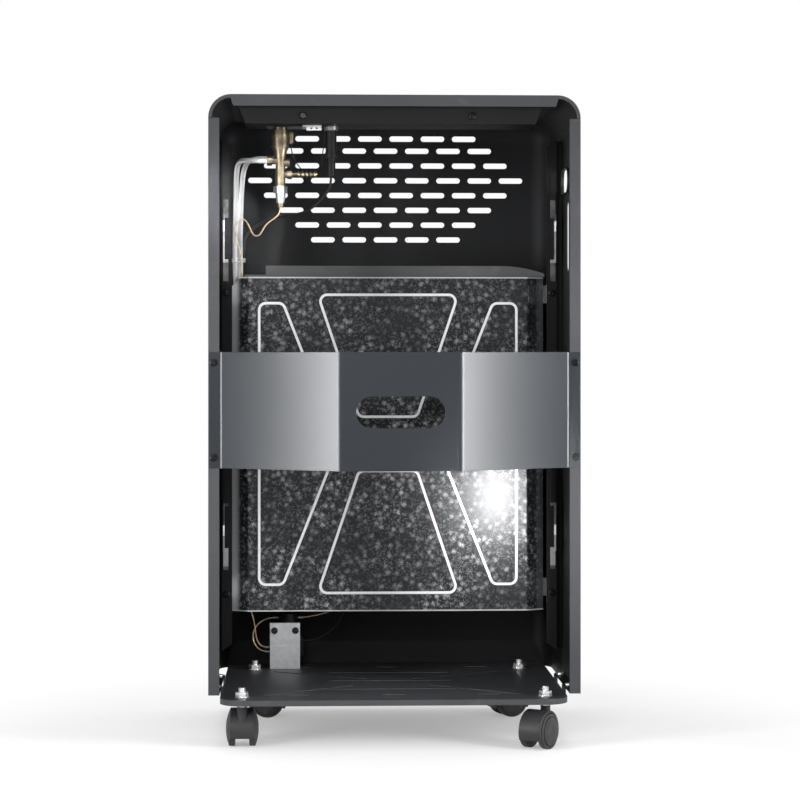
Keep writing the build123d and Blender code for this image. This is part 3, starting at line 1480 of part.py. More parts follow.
nodes = {
    "front_shell": front_shell(),
    "side_panel_left": side_panel(),
    "side_panel_right": mirror(side_panel(), about=Plane.YZ),
    "top_cover": top_cover(),
    "control_tray": control_tray(),
    "base_plate": base_plate(),
    "retaining_band": retaining_band(),
    "panel_hooks": panel_hooks(),
    "band_screws": band_screws(),
    "panel_screws": panel_screws(),
    "base_screws": base_screws(),
    "heat_shield": heat_shield(),
    "burner_housing": burner_housing(),
    "burner_frame": burner_frame(),
    "burner_pans": group([burner_pan(x) for x in plaque_places()]),
    "gas_manifold": gas_manifold(),
    "injectors": injectors(),
    "reflector": reflector(),
    "front_grille": front_grille(),
    "pilot_bracket": pilot_bracket(),
    "pilot_burner": pilot_burner(),
    "spark_electrode": spark_electrode(),
    "thermocouple_probe": thermocouple_probe(),
    "valve_bracket": valve_bracket(),
    "valve_body": valve_body(),
    "control_nuts": control_nuts(),
    "valve_plunger": valve_plunger(),
    "valve_spindle": valve_spindle(),
    "control_knob": control_knob(),
    "valve_nut": valve_nut(),
    "thermocouple_nut": thermocouple_nut(),
    "hose_nozzle": hose_nozzle(),
    "outlet_nuts": outlet_nuts(),
    "gas_tube_main": gas_tube_main(),
    "gas_tube_pilot": gas_tube_pilot(),
    "cable_tie": cable_tie(),
    "igniter_body": igniter_body(),
    "igniter_button": igniter_button(),
    "igniter_spring": igniter_spring(),
    "igniter_lead": igniter_lead(),
    "thermocouple_lead": thermocouple_lead(),
    "probe_lead": probe_lead(),
    "tilt_loop_wire": tilt_loop_wire(),
    "tilt_cable": tilt_cable(),
    "earth_wire": earth_wire(),
    "tilt_bracket": tilt_bracket(),
    "tilt_switch_body": tilt_switch_body(),
    "castor_stems": group([castor_stem(x, y) for x, y in castor_places()]),
    "castor_nuts": group([castor_nut(x, y) for x, y in castor_places()]),
}
for number, place in enumerate(plaque_places(), start=1):
    nodes[f"ceramic_plaque_{number}"] = ceramic_plaque(place)
for number in range(4):
    nodes[f"castor_fork_{number + 1}"] = place_castor(castor_fork(), number)
    nodes[f"castor_wheels_{number + 1}"] = place_castor(castor_wheelset(), number)

os.makedirs("parts", exist_ok=True)
for name, shape in nodes.items():
    export_step(shape, f"parts/{name}.step")
print(len(nodes), "nodes")
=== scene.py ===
import math

import bmesh
import bpy
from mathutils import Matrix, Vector


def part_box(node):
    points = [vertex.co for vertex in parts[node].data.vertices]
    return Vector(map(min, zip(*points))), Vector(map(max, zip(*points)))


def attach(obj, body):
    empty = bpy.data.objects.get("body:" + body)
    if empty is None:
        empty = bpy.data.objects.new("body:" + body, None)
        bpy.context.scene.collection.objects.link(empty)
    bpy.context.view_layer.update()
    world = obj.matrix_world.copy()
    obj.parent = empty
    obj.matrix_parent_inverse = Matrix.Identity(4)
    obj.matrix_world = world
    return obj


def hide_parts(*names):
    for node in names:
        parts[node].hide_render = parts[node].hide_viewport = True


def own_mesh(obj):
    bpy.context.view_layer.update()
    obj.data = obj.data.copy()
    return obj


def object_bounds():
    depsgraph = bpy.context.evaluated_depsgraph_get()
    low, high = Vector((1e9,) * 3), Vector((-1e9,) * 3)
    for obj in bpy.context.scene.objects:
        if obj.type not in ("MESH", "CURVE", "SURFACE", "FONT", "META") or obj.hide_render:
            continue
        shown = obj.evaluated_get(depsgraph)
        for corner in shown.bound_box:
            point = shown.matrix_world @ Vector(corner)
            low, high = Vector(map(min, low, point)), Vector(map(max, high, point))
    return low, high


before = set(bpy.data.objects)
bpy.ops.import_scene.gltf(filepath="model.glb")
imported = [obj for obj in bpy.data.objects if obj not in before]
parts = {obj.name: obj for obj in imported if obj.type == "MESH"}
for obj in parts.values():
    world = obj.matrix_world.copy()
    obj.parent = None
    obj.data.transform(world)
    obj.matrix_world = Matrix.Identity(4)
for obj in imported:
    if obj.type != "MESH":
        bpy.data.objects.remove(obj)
cad_low, cad_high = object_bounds()
scene = bpy.context.scene
scene.view_settings.view_transform = "Standard"

# ---------------------------------------------------------------- camera
# The camera stands behind the open rear, level with the retaining band and a little to the heater's left.
# It looks along the cabinet towards its front.

lens_eye = bpy.data.cameras.new("camera")
lens_eye.lens = 105.9
lens_eye.sensor_width = 36.0
lens_eye.shift_y = -0.06
camera = bpy.data.objects.new("camera", lens_eye)
camera.location = (0.0957, 2.777, 0.450)
camera.rotation_euler = (math.radians(90), 0, math.radians(180 - 2.19))
scene.collection.objects.link(camera)
scene.camera = camera


class Wire:
    """One socket of a finish. Sums and products can be written on it, and any other node is added with node."""

    def __init__(self, tree, socket):
        self.tree = tree
        self.socket = socket

    def node(self, kind, settings=None, inputs=None, output=0):
        """Add a node: its settings first, then the values or links of its sockets."""
        made = self.tree.nodes.new(kind)
        for name, value in (settings or {}).items():
            if name == "stops":
                while len(made.color_ramp.elements) < len(value):
                    made.color_ramp.elements.new(1.0)
                for stop, (where, colour) in zip(made.color_ramp.elements, value):
                    stop.position = where
                    stop.color = (*colour, 1.0)
            else:
                setattr(made, name, value)
        for name, value in (inputs or {}).items():
            if isinstance(value, Wire):
                self.tree.links.new(value.socket, made.inputs[name])
            else:
                made.inputs[name].default_value = value
        return Wire(self.tree, made.outputs[output]) if len(made.outputs) else None

    def math(self, operation, first, second=0.0):
        return self.node("ShaderNodeMath", {"operation": operation}, {0: first, 1: second})

    def __add__(self, other):
        return self.math("ADD", self, other)

    def __sub__(self, other):
        return self.math("SUBTRACT", self, other)

    def __rsub__(self, other):
        return self.math("SUBTRACT", other, self)

    def __mul__(self, other):
        return self.math("MULTIPLY", self, other)

    def __lt__(self, other):
        return self.math("LESS_THAN", self, other)

    def __gt__(self, other):
        return self.math("GREATER_THAN", self, other)

    __radd__ = __add__
    __rmul__ = __mul__


# ---------------------------------------------------------------- leads
# The flexible leads: the igniter's sleeved high-voltage lead, the copper thermocouple leads with their loop,
# the tilt switch's cable and the thin earth wire. Each is fixed at both ends and keeps its own springy curve.

def begin_finish(name):
    """A new finish, with the place on its part, in metres, that its pattern is laid out by."""
    finish = bpy.data.materials.new(name)
    finish.use_nodes = True
    finish.node_tree.nodes.clear()
    place = finish.node_tree.nodes.new("ShaderNodeTexCoord").outputs["Object"]
    return finish, Wire(finish.node_tree, place)


def close_finish(place, base, roughness, metallic=0.0, height=None, relief=0.0, edge=0.0, sheen=0.5):
    """End a finish in its surface, with a relief in metres, softened edges, and how strongly it mirrors."""
    inputs = {"Base Color": base, "Roughness": roughness, "Metallic": metallic, "Specular IOR Level": sheen}
    normal = place.node("ShaderNodeBevel", {"samples": 4}, {"Radius": edge}) if edge else None
    if height is not None:
        bump = {"Height": height, "Distance": relief, "Strength": 1.0}
        if normal is not None:
            bump["Normal"] = normal
        normal = place.node("ShaderNodeBump", None, bump)
    if normal is not None:
        inputs["Normal"] = normal
    shader = place.node("ShaderNodeBsdfPrincipled", None, inputs)
    place.node("ShaderNodeOutputMaterial", None, {"Surface": shader})


def cloud(place, scale, detail=3.0, output="Fac"):
    """Soft irregular noise, with its scale in waves to the metre."""
    return place.node("ShaderNodeTexNoise", None, {"Vector": place, "Scale": scale, "Detail": detail}, output)


def fade(value, start, end):
    """0 before start, 1 after end, and smooth between them."""
    limits = {"Value": value, "From Min": start, "From Max": end}
    return value.node("ShaderNodeMapRange", {"interpolation_type": "SMOOTHSTEP"}, limits)


def tint(share, first, second):
    """The first colour where the share is 0, and the second where it is 1."""
    sockets = {0: share}
    for number, colour in ((6, first), (7, second)):
        sockets[number] = colour if isinstance(colour, Wire) else (*colour, 1.0)
    return share.node("ShaderNodeMix", {"data_type": "RGBA"}, sockets, 2)


def run_lead(name, points, diameter, finish, body):
    """A lead of one smooth line through its room, which stands for the part's plain tube."""
    curve = bpy.data.curves.new(name, "CURVE")
    curve.dimensions = "3D"
    curve.bevel_depth = diameter / 2
    curve.bevel_resolution = 4
    curve.resolution_u = 12
    curve.use_fill_caps = True
    spline = curve.splines.new("NURBS")
    spline.points.add(len(points) - 1)
    for point, place in zip(spline.points, points):
        point.co = (*place, 1.0)
    spline.order_u = 3
    spline.use_endpoint_u = True
    lead = bpy.data.objects.new(name + "_run", curve)
    scene.collection.objects.link(lead)
    curve.materials.append(finish)
    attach(lead, body)
    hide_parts(name)
    return lead


black_sleeve, place = begin_finish("black_silicone_sleeve")
dust = cloud(place, 240, 4)
sleeve_colour = tint(dust, (0.006, 0.006, 0.0065), (0.016, 0.016, 0.017))
close_finish(place, sleeve_colour, 0.40 + 0.2 * dust, height=cloud(place, 1500, 2), relief=0.00008, sheen=0.14)

lead_copper, place = begin_finish("drawn_copper_lead")
tarnish = fade(cloud(place, 60, 4), 0.42, 0.66)
copper_colour = tint(tarnish, (0.84, 0.63, 0.38), (0.52, 0.37, 0.21))
close_finish(place, copper_colour, 0.32 + 0.2 * tarnish, 0.6, cloud(place, 1800, 2), 0.00004)

left_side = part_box("side_panel_left")[1].x
rear_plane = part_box("side_panel_left")[1].y
tray_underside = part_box("control_tray")[0].z


def fixed(x, y, z):
    """An end of a lead, where it is joined."""
    return [(x / 1000, y / 1000, z / 1000)]


def hung(points):
    """Points given by how far they lie in from the left side, in from the rear and below the tray's floor."""
    return [(left_side - inset / 1000, rear_plane - depth / 1000, tray_underside - drop / 1000)
            for inset, depth, drop in points]


def stood(points):
    """Points given by how far they lie in from the left side, in from the rear and above the ground."""
    return [(left_side - inset / 1000, rear_plane - depth / 1000, level / 1000) for inset, depth, level in points]


igniter_route = fixed(71.6, 81, 651.6) + fixed(71.6, 81, 641) + hung([
    (131.5, 50, 79), (123, 56, 88), (112, 64, 95), (100, 76, 98.5), (82.5, 92, 100), (65, 111, 103), (51, 135, 109),
    (42, 160, 115), (36.5, 188, 121), (35.5, 215, 127), (33.5, 237, 137), (30.5, 252, 153), (28.2, 265, 176),
    (27, 268, 208)]) + stood([
        (26.8, 268, 410), (27, 268.6, 362), (28, 270, 325), (31, 276, 298), (39, 288, 277), (52, 301, 265),
        (68, 313, 261), (84, 317, 265), (95, 314, 275), (98, 309, 288)]) + fixed(112, -182, 300)
thermocouple_route = fixed(129.5, 81, 617.2) + hung([
    (80.5, 46, 97), (76, 48.5, 103.5), (69, 54, 107.5), (63, 60, 112.5), (59.5, 63.2, 118.5), (56, 66, 123.8),
    (50, 71, 124.2), (46.5, 75.2, 118.5), (43, 81, 110), (38.5, 89.5, 104), (33, 100, 103), (28, 113, 107),
    (26, 128, 114), (26.5, 146, 122), (29, 171, 131), (30.5, 199, 140), (30.5, 225, 148), (30, 244.5, 161),
    (29.5, 249.5, 182), (29.5, 250, 213)]) + stood([
        (29.5, 250, 420), (29.6, 250.4, 378), (29.5, 250, 336), (29.6, 250.4, 294), (29.5, 250, 252),
        (30, 250.5, 210), (33, 254, 170), (39, 261, 138), (44.5, 268, 120), (46.5, 273.5, 106), (47.5, 276.5, 95),
        (51.5, 279.5, 86.5), (57.5, 281.2, 83)]) + fixed(144.3, -154.2, 83)
probe_route = fixed(111.2, -155.3, 119.5) + stood([
    (107, 282.3, 119.5), (118, 284.3, 121.5), (130, 286, 123.5), (142, 288, 128), (151.5, 290, 140),
    (155.5, 290, 158), (154, 291, 178), (146, 292, 198), (132, 294, 218), (114, 296, 234), (96, 300, 248),
    (82, 306, 262), (75, 309, 276), (74, 309, 289)]) + fixed(136, -182, 300)
tilt_loop_route = fixed(134.4, -155.3, 119.5) + stood([
    (66.5, 282.3, 119.5), (58.5, 282.8, 117.5), (51, 283.8, 113), (45, 284.3, 105.5), (43, 284.8, 96),
    (45, 285.3, 87), (50.5, 285.3, 80), (58, 285.2, 77)]) + fixed(144.3, -158.2, 77)
tilt_cable_route = fixed(104.1, -154.2, 91) + stood([
    (115.9, 281.2, 91), (125.9, 281.7, 94), (135.9, 282.2, 99.5), (144.9, 282.7, 107.5), (152.4, 283.2, 118),
    (156.9, 283.2, 131), (158.9, 283.2, 147), (159.3, 280.2, 165), (158.9, 273.2, 183), (159.1, 265.2, 200),
    (158.9, 248, 216), (158.9, 247.4, 240)])
earth_route = fixed(117.4, 81, 688.6) + hung([
    (92.6, 46, 26.4), (95.6, 52, 35), (100.6, 54, 44), (107.6, 56, 51.5), (115.6, 56, 55), (123.6, 55, 52),
    (128.1, 52, 45), (128.6, 48, 36), (129.1, 46, 26)]) + fixed(78.6, 81, 693.1) + fixed(78.6, 81, 703.1)

run_lead("igniter_lead", igniter_route, 0.0026, black_sleeve, "cabinet")
run_lead("thermocouple_lead", thermocouple_route, 0.0015, lead_copper, "cabinet")
run_lead("probe_lead", probe_route, 0.0015, lead_copper, "cabinet")
run_lead("tilt_loop_wire", tilt_loop_route, 0.0015, lead_copper, "cabinet")
run_lead("tilt_cable", tilt_cable_route, 0.0032, black_sleeve, "cabinet")
run_lead("earth_wire", earth_route, 0.0012, black_sleeve, "cabinet")

# ---------------------------------------------------------------- studio
# A pale floor under a white sky, with soft lamps beside the open rear that catch the band's folded facets.
# The floor keeps the heater's soft shadow.

def soft_lamp(name, place, target, size, power, spread=180):
    """One soft box that the camera doesn't see, with a grid that narrows its beam to spread degrees."""
    lamp = bpy.data.lights.new(name, "AREA")
    lamp.shape = "RECTANGLE"
    lamp.size, lamp.size_y = size
    lamp.energy = power
    lamp.spread = math.radians(spread)
    holder = bpy.data.objects.new(name, lamp)
    holder.location = place
    holder.rotation_euler = (Vector(target) - Vector(place)).to_track_quat("-Z", "Y").to_euler()
    holder.visible_camera = False
    scene.collection.objects.link(holder)
    return holder


def seen_share(first):
    """1 for the rays that show a background: from the camera, from gloss and through glass."""
    path = first.node("ShaderNodeLightPath", None, None, "Is Camera Ray")
    rays = path.socket.node.outputs
    total = path + Wire(path.tree, rays["Is Glossy Ray"]) + Wire(path.tree, rays["Is Transmission Ray"])
    return first.math("MINIMUM", total, 1.0)


sky = bpy.data.worlds.new("sky")
sky.use_nodes = True
sky.node_tree.nodes.clear()
sky_start = Wire(sky.node_tree, sky.node_tree.nodes.new("ShaderNodeTexCoord").outputs["Object"])
lit = sky_start.node("ShaderNodeBackground", None, {"Color": (1, 1, 1, 1), "Strength": 0.80})
shown = sky_start.node("ShaderNodeBackground", None, {"Color": (1, 1, 1, 1), "Strength": 1.0})
sky_mix = sky_start.node("ShaderNodeMixShader", None, {0: seen_share(sky_start), 1: lit, 2: shown})
sky_start.node("ShaderNodeOutputWorld", None, {"Surface": sky_mix})
scene.world = sky

floor_finish, place = begin_finish("pale_floor")
matt = place.node("ShaderNodeBsdfDiffuse", None, {"Color": (0.74, 0.74, 0.745, 1)})
seen_matt = place.node("ShaderNodeBsdfDiffuse", None, {"Color": (0.68, 0.68, 0.685, 1)})
glow = place.node("ShaderNodeEmission", None, {"Color": (1, 1, 1, 1), "Strength": 0.325})
near = place.node("ShaderNodeAddShader", None, {0: seen_matt, 1: glow})
far = place.node("ShaderNodeEmission", None, {"Color": (1, 1, 1, 1), "Strength": 1.0})
away = fade(place.node("ShaderNodeVectorMath", {"operation": "LENGTH"}, {0: place}, "Value"), 0.40, 0.62)
shown_floor = place.node("ShaderNodeMixShader", None, {0: away, 1: near, 2: far})
floor_mix = place.node("ShaderNodeMixShader", None, {0: seen_share(place), 1: matt, 2: shown_floor})
place.node("ShaderNodeOutputMaterial", None, {"Surface": floor_mix})
floor_mesh = bpy.data.meshes.new("floor")
floor_mesh.from_pydata([(-9, -9, 0), (9, -9, 0), (9, 9, 0), (-9, 9, 0)], [], [(0, 1, 2, 3)])
floor_mesh.materials.append(floor_finish)
floor = bpy.data.objects.new("floor", floor_mesh)
scene.collection.objects.link(floor)

soft_lamp("side_lamp_left", (0.64, 0.60, 0.40), (0.10, 0.17, 0.40), (0.14, 0.50), 1.6, 70)
soft_lamp("side_lamp_right", (-0.66, 0.54, 0.40), (-0.10, 0.17, 0.40), (0.14, 0.50), 1.95, 70)
soft_lamp("top_lamp", (0.0, -0.25, 2.1), (0, 0, 0.5), (1.4, 1.0), 10)
soft_lamp("rear_lamp", (0.30, 2.1, 1.0), (0.05, 0, 0.45), (0.5, 0.5), 7)
soft_lamp("glint_lamp", (-0.222, 1.05, 0.205), (-0.137, -0.11, 0.275), (0.022, 0.10), 0.045, 24)
soft_lamp("tube_lamp", (0.02, 1.30, 0.72), (0.184, -0.06, 0.610), (0.03, 0.05), 0.050, 6)

# ---------------------------------------------------------------- cabinet
# Pressed sheet steel, 1 mm thick: the front shell, the two side panels, the top cover with its control well
# and the base plate. They are folded, screwed together and powder coated in a fine charcoal texture.

def dress(finish, *names):
    """Give parts of the frame their finish."""
    for name in names:
        for holder in parts[name].material_slots:
            holder.material = finish


def axes_of(place):
    """The place's X, Y and Z."""
    split = place.node("ShaderNodeSeparateXYZ", None, {0: place})
    return [Wire(place.tree, output) for output in split.socket.node.outputs]


def powder_finish(name, dark, light, worn, sheen=0.5):
    """A fine textured powder coat that mottles between two greys and is rubbed paler in scattered patches."""
    finish, place = begin_finish(name)
    grain = cloud(place, 1300, 2)
    mottle = cloud(place, 14, 3)
    rubbed = fade(cloud(place, 46, 5), 0.60, 0.80)
    colour = tint(0.35 * rubbed, tint(mottle, dark, light), worn)
    texture = grain + 0.6 * cloud(place, 420, 2)
    return finish, place, colour, 0.40 + 0.16 * grain + 0.08 * mottle, texture, sheen


def close_powder(finish, place, colour, rough, texture, sheen):
    """End a powder coat."""
    close_finish(place, colour, rough, height=texture, relief=0.00007, edge=0.0007, sheen=sheen)
    return finish


skin = 0.0005


def cabinet_finish(name, painted_shade_inside, lift=1.0, sheen=0.35):
    """The charcoal coat outside, with a near-black painted shade in its place inside the cabinet."""
    dark, light = [[lift * part for part in tone] for tone in ((0.024, 0.0255, 0.029), (0.038, 0.040, 0.044))]
    finish, place, outside, rough, texture, sheen = powder_finish(name, dark, light, (0.075, 0.077, 0.082), sheen)
    across, deep, up = axes_of(place)
    shaded_region = place.math("ABSOLUTE", across) < left_side - skin
    shaded_region = shaded_region * (deep > cad_low.y + skin) * (deep < rear_plane - skin) * (up < cad_high.z - 3 * skin)
    close_powder(finish, place, tint(shaded_region, outside, painted_shade_inside(across, deep, up)), rough, texture, sheen)
    return finish


def panel_inside(across, deep, up):
    """Painted shade behind the side panels and the cover, darkest towards the bottom."""
    return tint(fade(up, 0.10, 0.30), (0.0045, 0.0045, 0.005), (0.010, 0.0105, 0.012))


def shell_inside(across, deep, up):
    """Painted shade inside the front shell: near black towards the bottom and on its strips, darker towards the
    heater's right, and again near its left wall beside the tilt switch.
    """
    wall = tint(fade(across, -0.20, 0.08), (0.017, 0.0175, 0.019), (0.046, 0.047, 0.050))
    wall = tint(fade(across, 0.125, 0.165), wall, (0.010, 0.0105, 0.012))
    wall = tint(fade(up, 0.14, 0.50), (0.003, 0.003, 0.0035), wall)
    return tint(fade(deep, -0.060, -0.052), wall, (0.006, 0.006, 0.007))


dress(cabinet_finish("charcoal_powder_coat", panel_inside), "side_panel_left", "side_panel_right", "top_cover")
dress(cabinet_finish("charcoal_shell_coat", shell_inside, 1.30, 0.12), "front_shell")
base_coat = close_powder(*powder_finish("charcoal_base_coat", (0.028, 0.029, 0.033), (0.048, 0.050, 0.055),
                                        (0.095, 0.097, 0.102), 0.4))
dress(base_coat, "base_plate")
# The control tray is painted near black all over, as painted shade for its place under the top cover's lip.
tray_shade_coat = close_powder(*powder_finish("tray_painted_shade_black", (0.0045, 0.0045, 0.005), (0.009, 0.009, 0.010),
                                        (0.020, 0.020, 0.022), 0.12))
dress(tray_shade_coat, "control_tray")

# ---------------------------------------------------------------- retaining band
# One strip of 1.2 mm steel, folded twice round the cylinder, with a rolled hand slot.
# It is lacquered in satin gunmetal and held by four black pan head screws.

gunmetal, place = begin_finish("satin_gunmetal")
flake = cloud(place, 2200, 2)
haze = cloud(place, 7, 3)
gun_colour = tint(flake, (0.009, 0.0115, 0.0145), (0.018, 0.0215, 0.026))
close_finish(place, gun_colour, 0.21 + 0.05 * flake + 0.04 * haze, 0.1, flake, 0.00003, 0.0009, 0.32)
dress(gunmetal, "retaining_band")

black_zinc, place = begin_finish("black_zinc_screw")
scuff = fade(cloud(place, 900, 3), 0.5, 0.72)
screw_colour = tint(scuff, (0.012, 0.012, 0.013), (0.055, 0.055, 0.058))
close_finish(place, screw_colour, 0.10 + 0.14 * scuff, 0.9, cloud(place, 2600, 2), 0.00005, 0.0004)
dress(black_zinc, "band_screws", "panel_screws")

# ---------------------------------------------------------------- heat shield
# A hot-dipped galvanised sheet between the cylinder and the burner. Its zinc froze in dark crystals with pale
# stars, and four pressed ribs stiffen it.

spangle, place = begin_finish("spangled_zinc_sheet")
across, deep, up = axes_of(place)
bend = {0: cloud(place, 420, 3, "Color"), 1: (0.0075, 0.0, 0.0075), 2: place}
bent = place.node("ShaderNodeVectorMath", {"operation": "MULTIPLY_ADD"}, bend)
stars = None
for scale, reach, share, strength in ((120, 0.52, 0.30, 1.0), (215, 0.52, 0.30, 0.85), (420, 0.55, 0.35, 0.55)):
    cell = bent.node("ShaderNodeTexVoronoi", None, {"Vector": bent, "Scale": scale}, "Distance")
    pick = Wire(cell.tree, cell.socket.node.outputs["Color"])
    star = strength * fade(cell, reach, 0.0) * fade(pick + 0.0, share, share + 0.35)
    stars = star if stars is None else place.math("MAXIMUM", stars, star)
patchy = 0.35 + 0.65 * fade(cloud(place, 17, 3), 0.36, 0.62)
needles = 0.25 + 1.1 * fade(cloud(place, 1100, 3), 0.34, 0.66)
smooth = fade(place.math("ABSOLUTE", across), 0.180, 0.188)
# The stars are painted dimmer towards the top of the shield, as painted shade.
stars = 0.82 * stars * patchy * needles * (1 - 0.5 * smooth) * (1 - 0.34 * fade(up, 0.38, 0.52))
shield_low, shield_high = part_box("heat_shield")
hem_width = 0.0015
# The hems along the shield's top and bottom edges and the crests of its ribs are painted near white, as painted
# highlights.
hem_highlight = place.math("MAXIMUM", up > shield_high.z - hem_width, up < shield_low.z + hem_width)
ground = tint(cloud(place, 70, 4), (0.008, 0.009, 0.010), (0.024, 0.026, 0.029))
# On the smooth wings the heater's left one is painted far lighter than its right one, as a painted reflection.
ground = tint(smooth, ground, tint(across > 0, (0.085, 0.088, 0.095), (0.50, 0.505, 0.515)))
shield_colour = tint(stars, ground, (0.66, 0.68, 0.70))
rib_crest = -0.10885
rib_highlight = fade(deep, rib_crest - 0.0003, rib_crest)
shield_colour = tint(place.math("MAXIMUM", rib_highlight, 0.6 * hem_highlight), shield_colour, (0.90, 0.91, 0.92))
close_finish(place, shield_colour, 0.16 + 0.16 * stars, 0.15 + 0.35 * stars, stars, 0.00003, 0.0005, 0.25)
dress(spangle, "heat_shield")

# ---------------------------------------------------------------- burner
# The burner stands behind the window: three fired ceramic plaques in an aluminised steel frame with their
# pans, the gas rail with its three brass jets, a bright reflector and a welded guard of chromed wire.

plaque_clay, place = begin_finish("fired_ceramic_plaque")
across, deep, up = axes_of(place)
hole_pitch = 0.0022
column = across.math("PINGPONG", across, hole_pitch / 2) * (2 / hole_pitch)
row = up.math("PINGPONG", up, hole_pitch / 2) * (2 / hole_pitch)
bore_and_shade = fade(column * row, 0.45, 0.72)
scorch = fade(cloud(place, 24, 3), 0.35, 0.7)
clay_colour = tint(scorch, (0.80, 0.72, 0.60), (0.66, 0.55, 0.43))
# The holes are painted dark brown, as painted shade in them.
clay_colour = tint(0.85 * bore_and_shade, clay_colour, (0.20, 0.15, 0.11))
close_finish(place, clay_colour, 0.85, height=1 - bore_and_shade, relief=0.0006)
dress(plaque_clay, "ceramic_plaque_1", "ceramic_plaque_2", "ceramic_plaque_3")

aluminised, place = begin_finish("aluminised_steel")
heat = fade(cloud(place, 20, 4), 0.45, 0.75)
alu_colour = tint(heat, (0.50, 0.50, 0.51), (0.30, 0.27, 0.24))
close_finish(place, alu_colour, 0.38 + 0.2 * heat, 0.85, cloud(place, 500, 3), 0.00006, 0.0004)
dress(aluminised, "burner_frame", "burner_pans", "pilot_bracket", "gas_manifold")
housing_coat = close_powder(*powder_finish("grey_heat_enamel", (0.060, 0.061, 0.064), (0.085, 0.086, 0.090),
                                           (0.12, 0.12, 0.125)))
dress(housing_coat, "burner_housing")

bright_sheet, place = begin_finish("polished_reflector_sheet")
bloom = cloud(place, 30, 3)
close_finish(place, tint(bloom, (0.82, 0.83, 0.84), (0.70, 0.70, 0.71)), 0.10 + 0.12 * bloom, 1.0,
             cloud(place, 90, 2), 0.0002)
dress(bright_sheet, "reflector")

guard_chrome, place = begin_finish("chromed_guard_wire")
tinting = fade(cloud(place, 55, 3), 0.5, 0.8)
close_finish(place, tint(tinting, (0.78, 0.78, 0.79), (0.60, 0.56, 0.50)), 0.14 + 0.14 * tinting, 1.0)
dress(guard_chrome, "front_grille")

# ---------------------------------------------------------------- gas valve
# Cast and turned brass: the valve with its hose nozzle, jets, nuts and the pilot's tube. A zinc union nut and
# two bright drawn tubes take the gas down beside the shield.

brass, place = begin_finish("turned_brass")
up = axes_of(place)[2]
patina = fade(cloud(place, 130, 4), 0.40, 0.72)
lathe = cloud(up.node("ShaderNodeCombineXYZ", None, {"Z": up}), 5200, 1)
brass_colour = tint(patina, (0.175, 0.147, 0.101), (0.080, 0.067, 0.046))
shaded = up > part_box("valve_body")[1].z - 0.014
brass_colour = tint(0.7 * shaded, brass_colour, (0.04, 0.032, 0.02))
close_finish(place, brass_colour, 0.30 + 0.16 * patina + 0.06 * lathe, 0.9, lathe + cloud(place, 900, 2), 0.00005,
             0.0003)
dress(brass, "valve_body", "hose_nozzle", "outlet_nuts", "injectors", "pilot_burner", "thermocouple_nut",
      "valve_plunger", "valve_spindle")

zinc, place = begin_finish("bright_zinc_plate")
up = axes_of(place)[2]
cloudy = cloud(place, 160, 4)
zinc_colour = tint(cloudy, (0.66, 0.67, 0.68), (0.40, 0.41, 0.425))
# Above this level the zinc is painted darker, as painted shade on the union nut and the control nuts.
painted_shade_level = 0.55
zinc_colour = tint(0.75 * (up > painted_shade_level), zinc_colour, (0.13, 0.13, 0.135))
drawn_out = {"Vector": place, "Rotation": (0.3, 0.5, 0.2), "Scale": (40, 900, 900)}
stretched = place.node("ShaderNodeMapping", None, drawn_out)
scratch = fade(cloud(stretched, 1.0, 2), 0.68, 0.74)
zinc_colour = tint(0.6 * scratch, zinc_colour, (0.90, 0.91, 0.92))
close_finish(place, zinc_colour, 0.26 + 0.22 * cloudy, 0.8, cloud(place, 1100, 2) - 0.5 * scratch, 0.00006, 0.0004)
dress(zinc, "valve_nut", "control_nuts", "tilt_bracket")

fresh_zinc, place = begin_finish("fresh_zinc_fixings")
up = axes_of(place)[2]
cloudy = cloud(place, 240, 3)
bracket_screw_level = 0.085
blackened = up > bracket_screw_level
fresh_colour = tint(blackened, tint(cloudy, (0.92, 0.93, 0.94), (0.70, 0.71, 0.72)), (0.020, 0.020, 0.022))
close_finish(place, fresh_colour, 0.16 + 0.18 * cloudy, 0.75, cloud(place, 1100, 2), 0.00005, 0.0004)
dress(fresh_zinc, "castor_nuts", "castor_stems", "base_screws")

dull_zinc, place = begin_finish("dulled_zinc_plate")
up = axes_of(place)[2]
grime = fade(cloud(place, 60, 4), 0.35, 0.65)
hook_pitch = 0.364
upper_hooks = up > 0.40
along_hook = up - hook_pitch * upper_hooks
dull_colour = tint(grime, (0.105, 0.108, 0.112), (0.045, 0.046, 0.048))
dull_colour = tint(along_hook > 0.2686, dull_colour, (0.006, 0.006, 0.007))
# On each hook a band is painted near white and the part under it paler, as a painted highlight on its edge.
hook_highlight = 0.25 + 0.75 * fade(along_hook, 0.2300, 0.2312)
hook_highlight = hook_highlight * fade(along_hook, 0.1920, 0.1945) * fade(along_hook, 0.2432, 0.2425)
dull_colour = tint(hook_highlight, dull_colour, (0.90, 0.91, 0.92))
close_finish(place, dull_colour, 0.36 + 0.2 * grime, 0.5, cloud(place, 1100, 2), 0.00005, 0.0004, 0.3)
dress(dull_zinc, "panel_hooks")

bracket_zinc, place = begin_finish("bracket_zinc_with_painted_shade")
across = axes_of(place)[0]
# The bracket is zinc all through. Its part towards the heater's left is painted near black, as painted shade under
# the tray.
unshaded_part = fade(across, 0.105, 0.103)
bracket_colour = tint(unshaded_part, (0.010, 0.010, 0.011), tint(cloud(place, 160, 4), (0.55, 0.56, 0.57), (0.36, 0.37, 0.38)))
close_finish(place, bracket_colour, 0.36, 0.6, cloud(place, 1100, 2), 0.00005, 0.0004, 0.2)
dress(bracket_zinc, "valve_bracket")

tube_silver, place = begin_finish("drawn_bright_tube")
smear = cloud(place, 90, 3)
close_finish(place, tint(smear, (0.95, 0.955, 0.96), (0.88, 0.885, 0.89)), 0.22 + 0.06 * smear, 0.45,
             cloud(place, 300, 2), 0.000012)
dress(tube_silver, "gas_tube_main", "gas_tube_pilot")

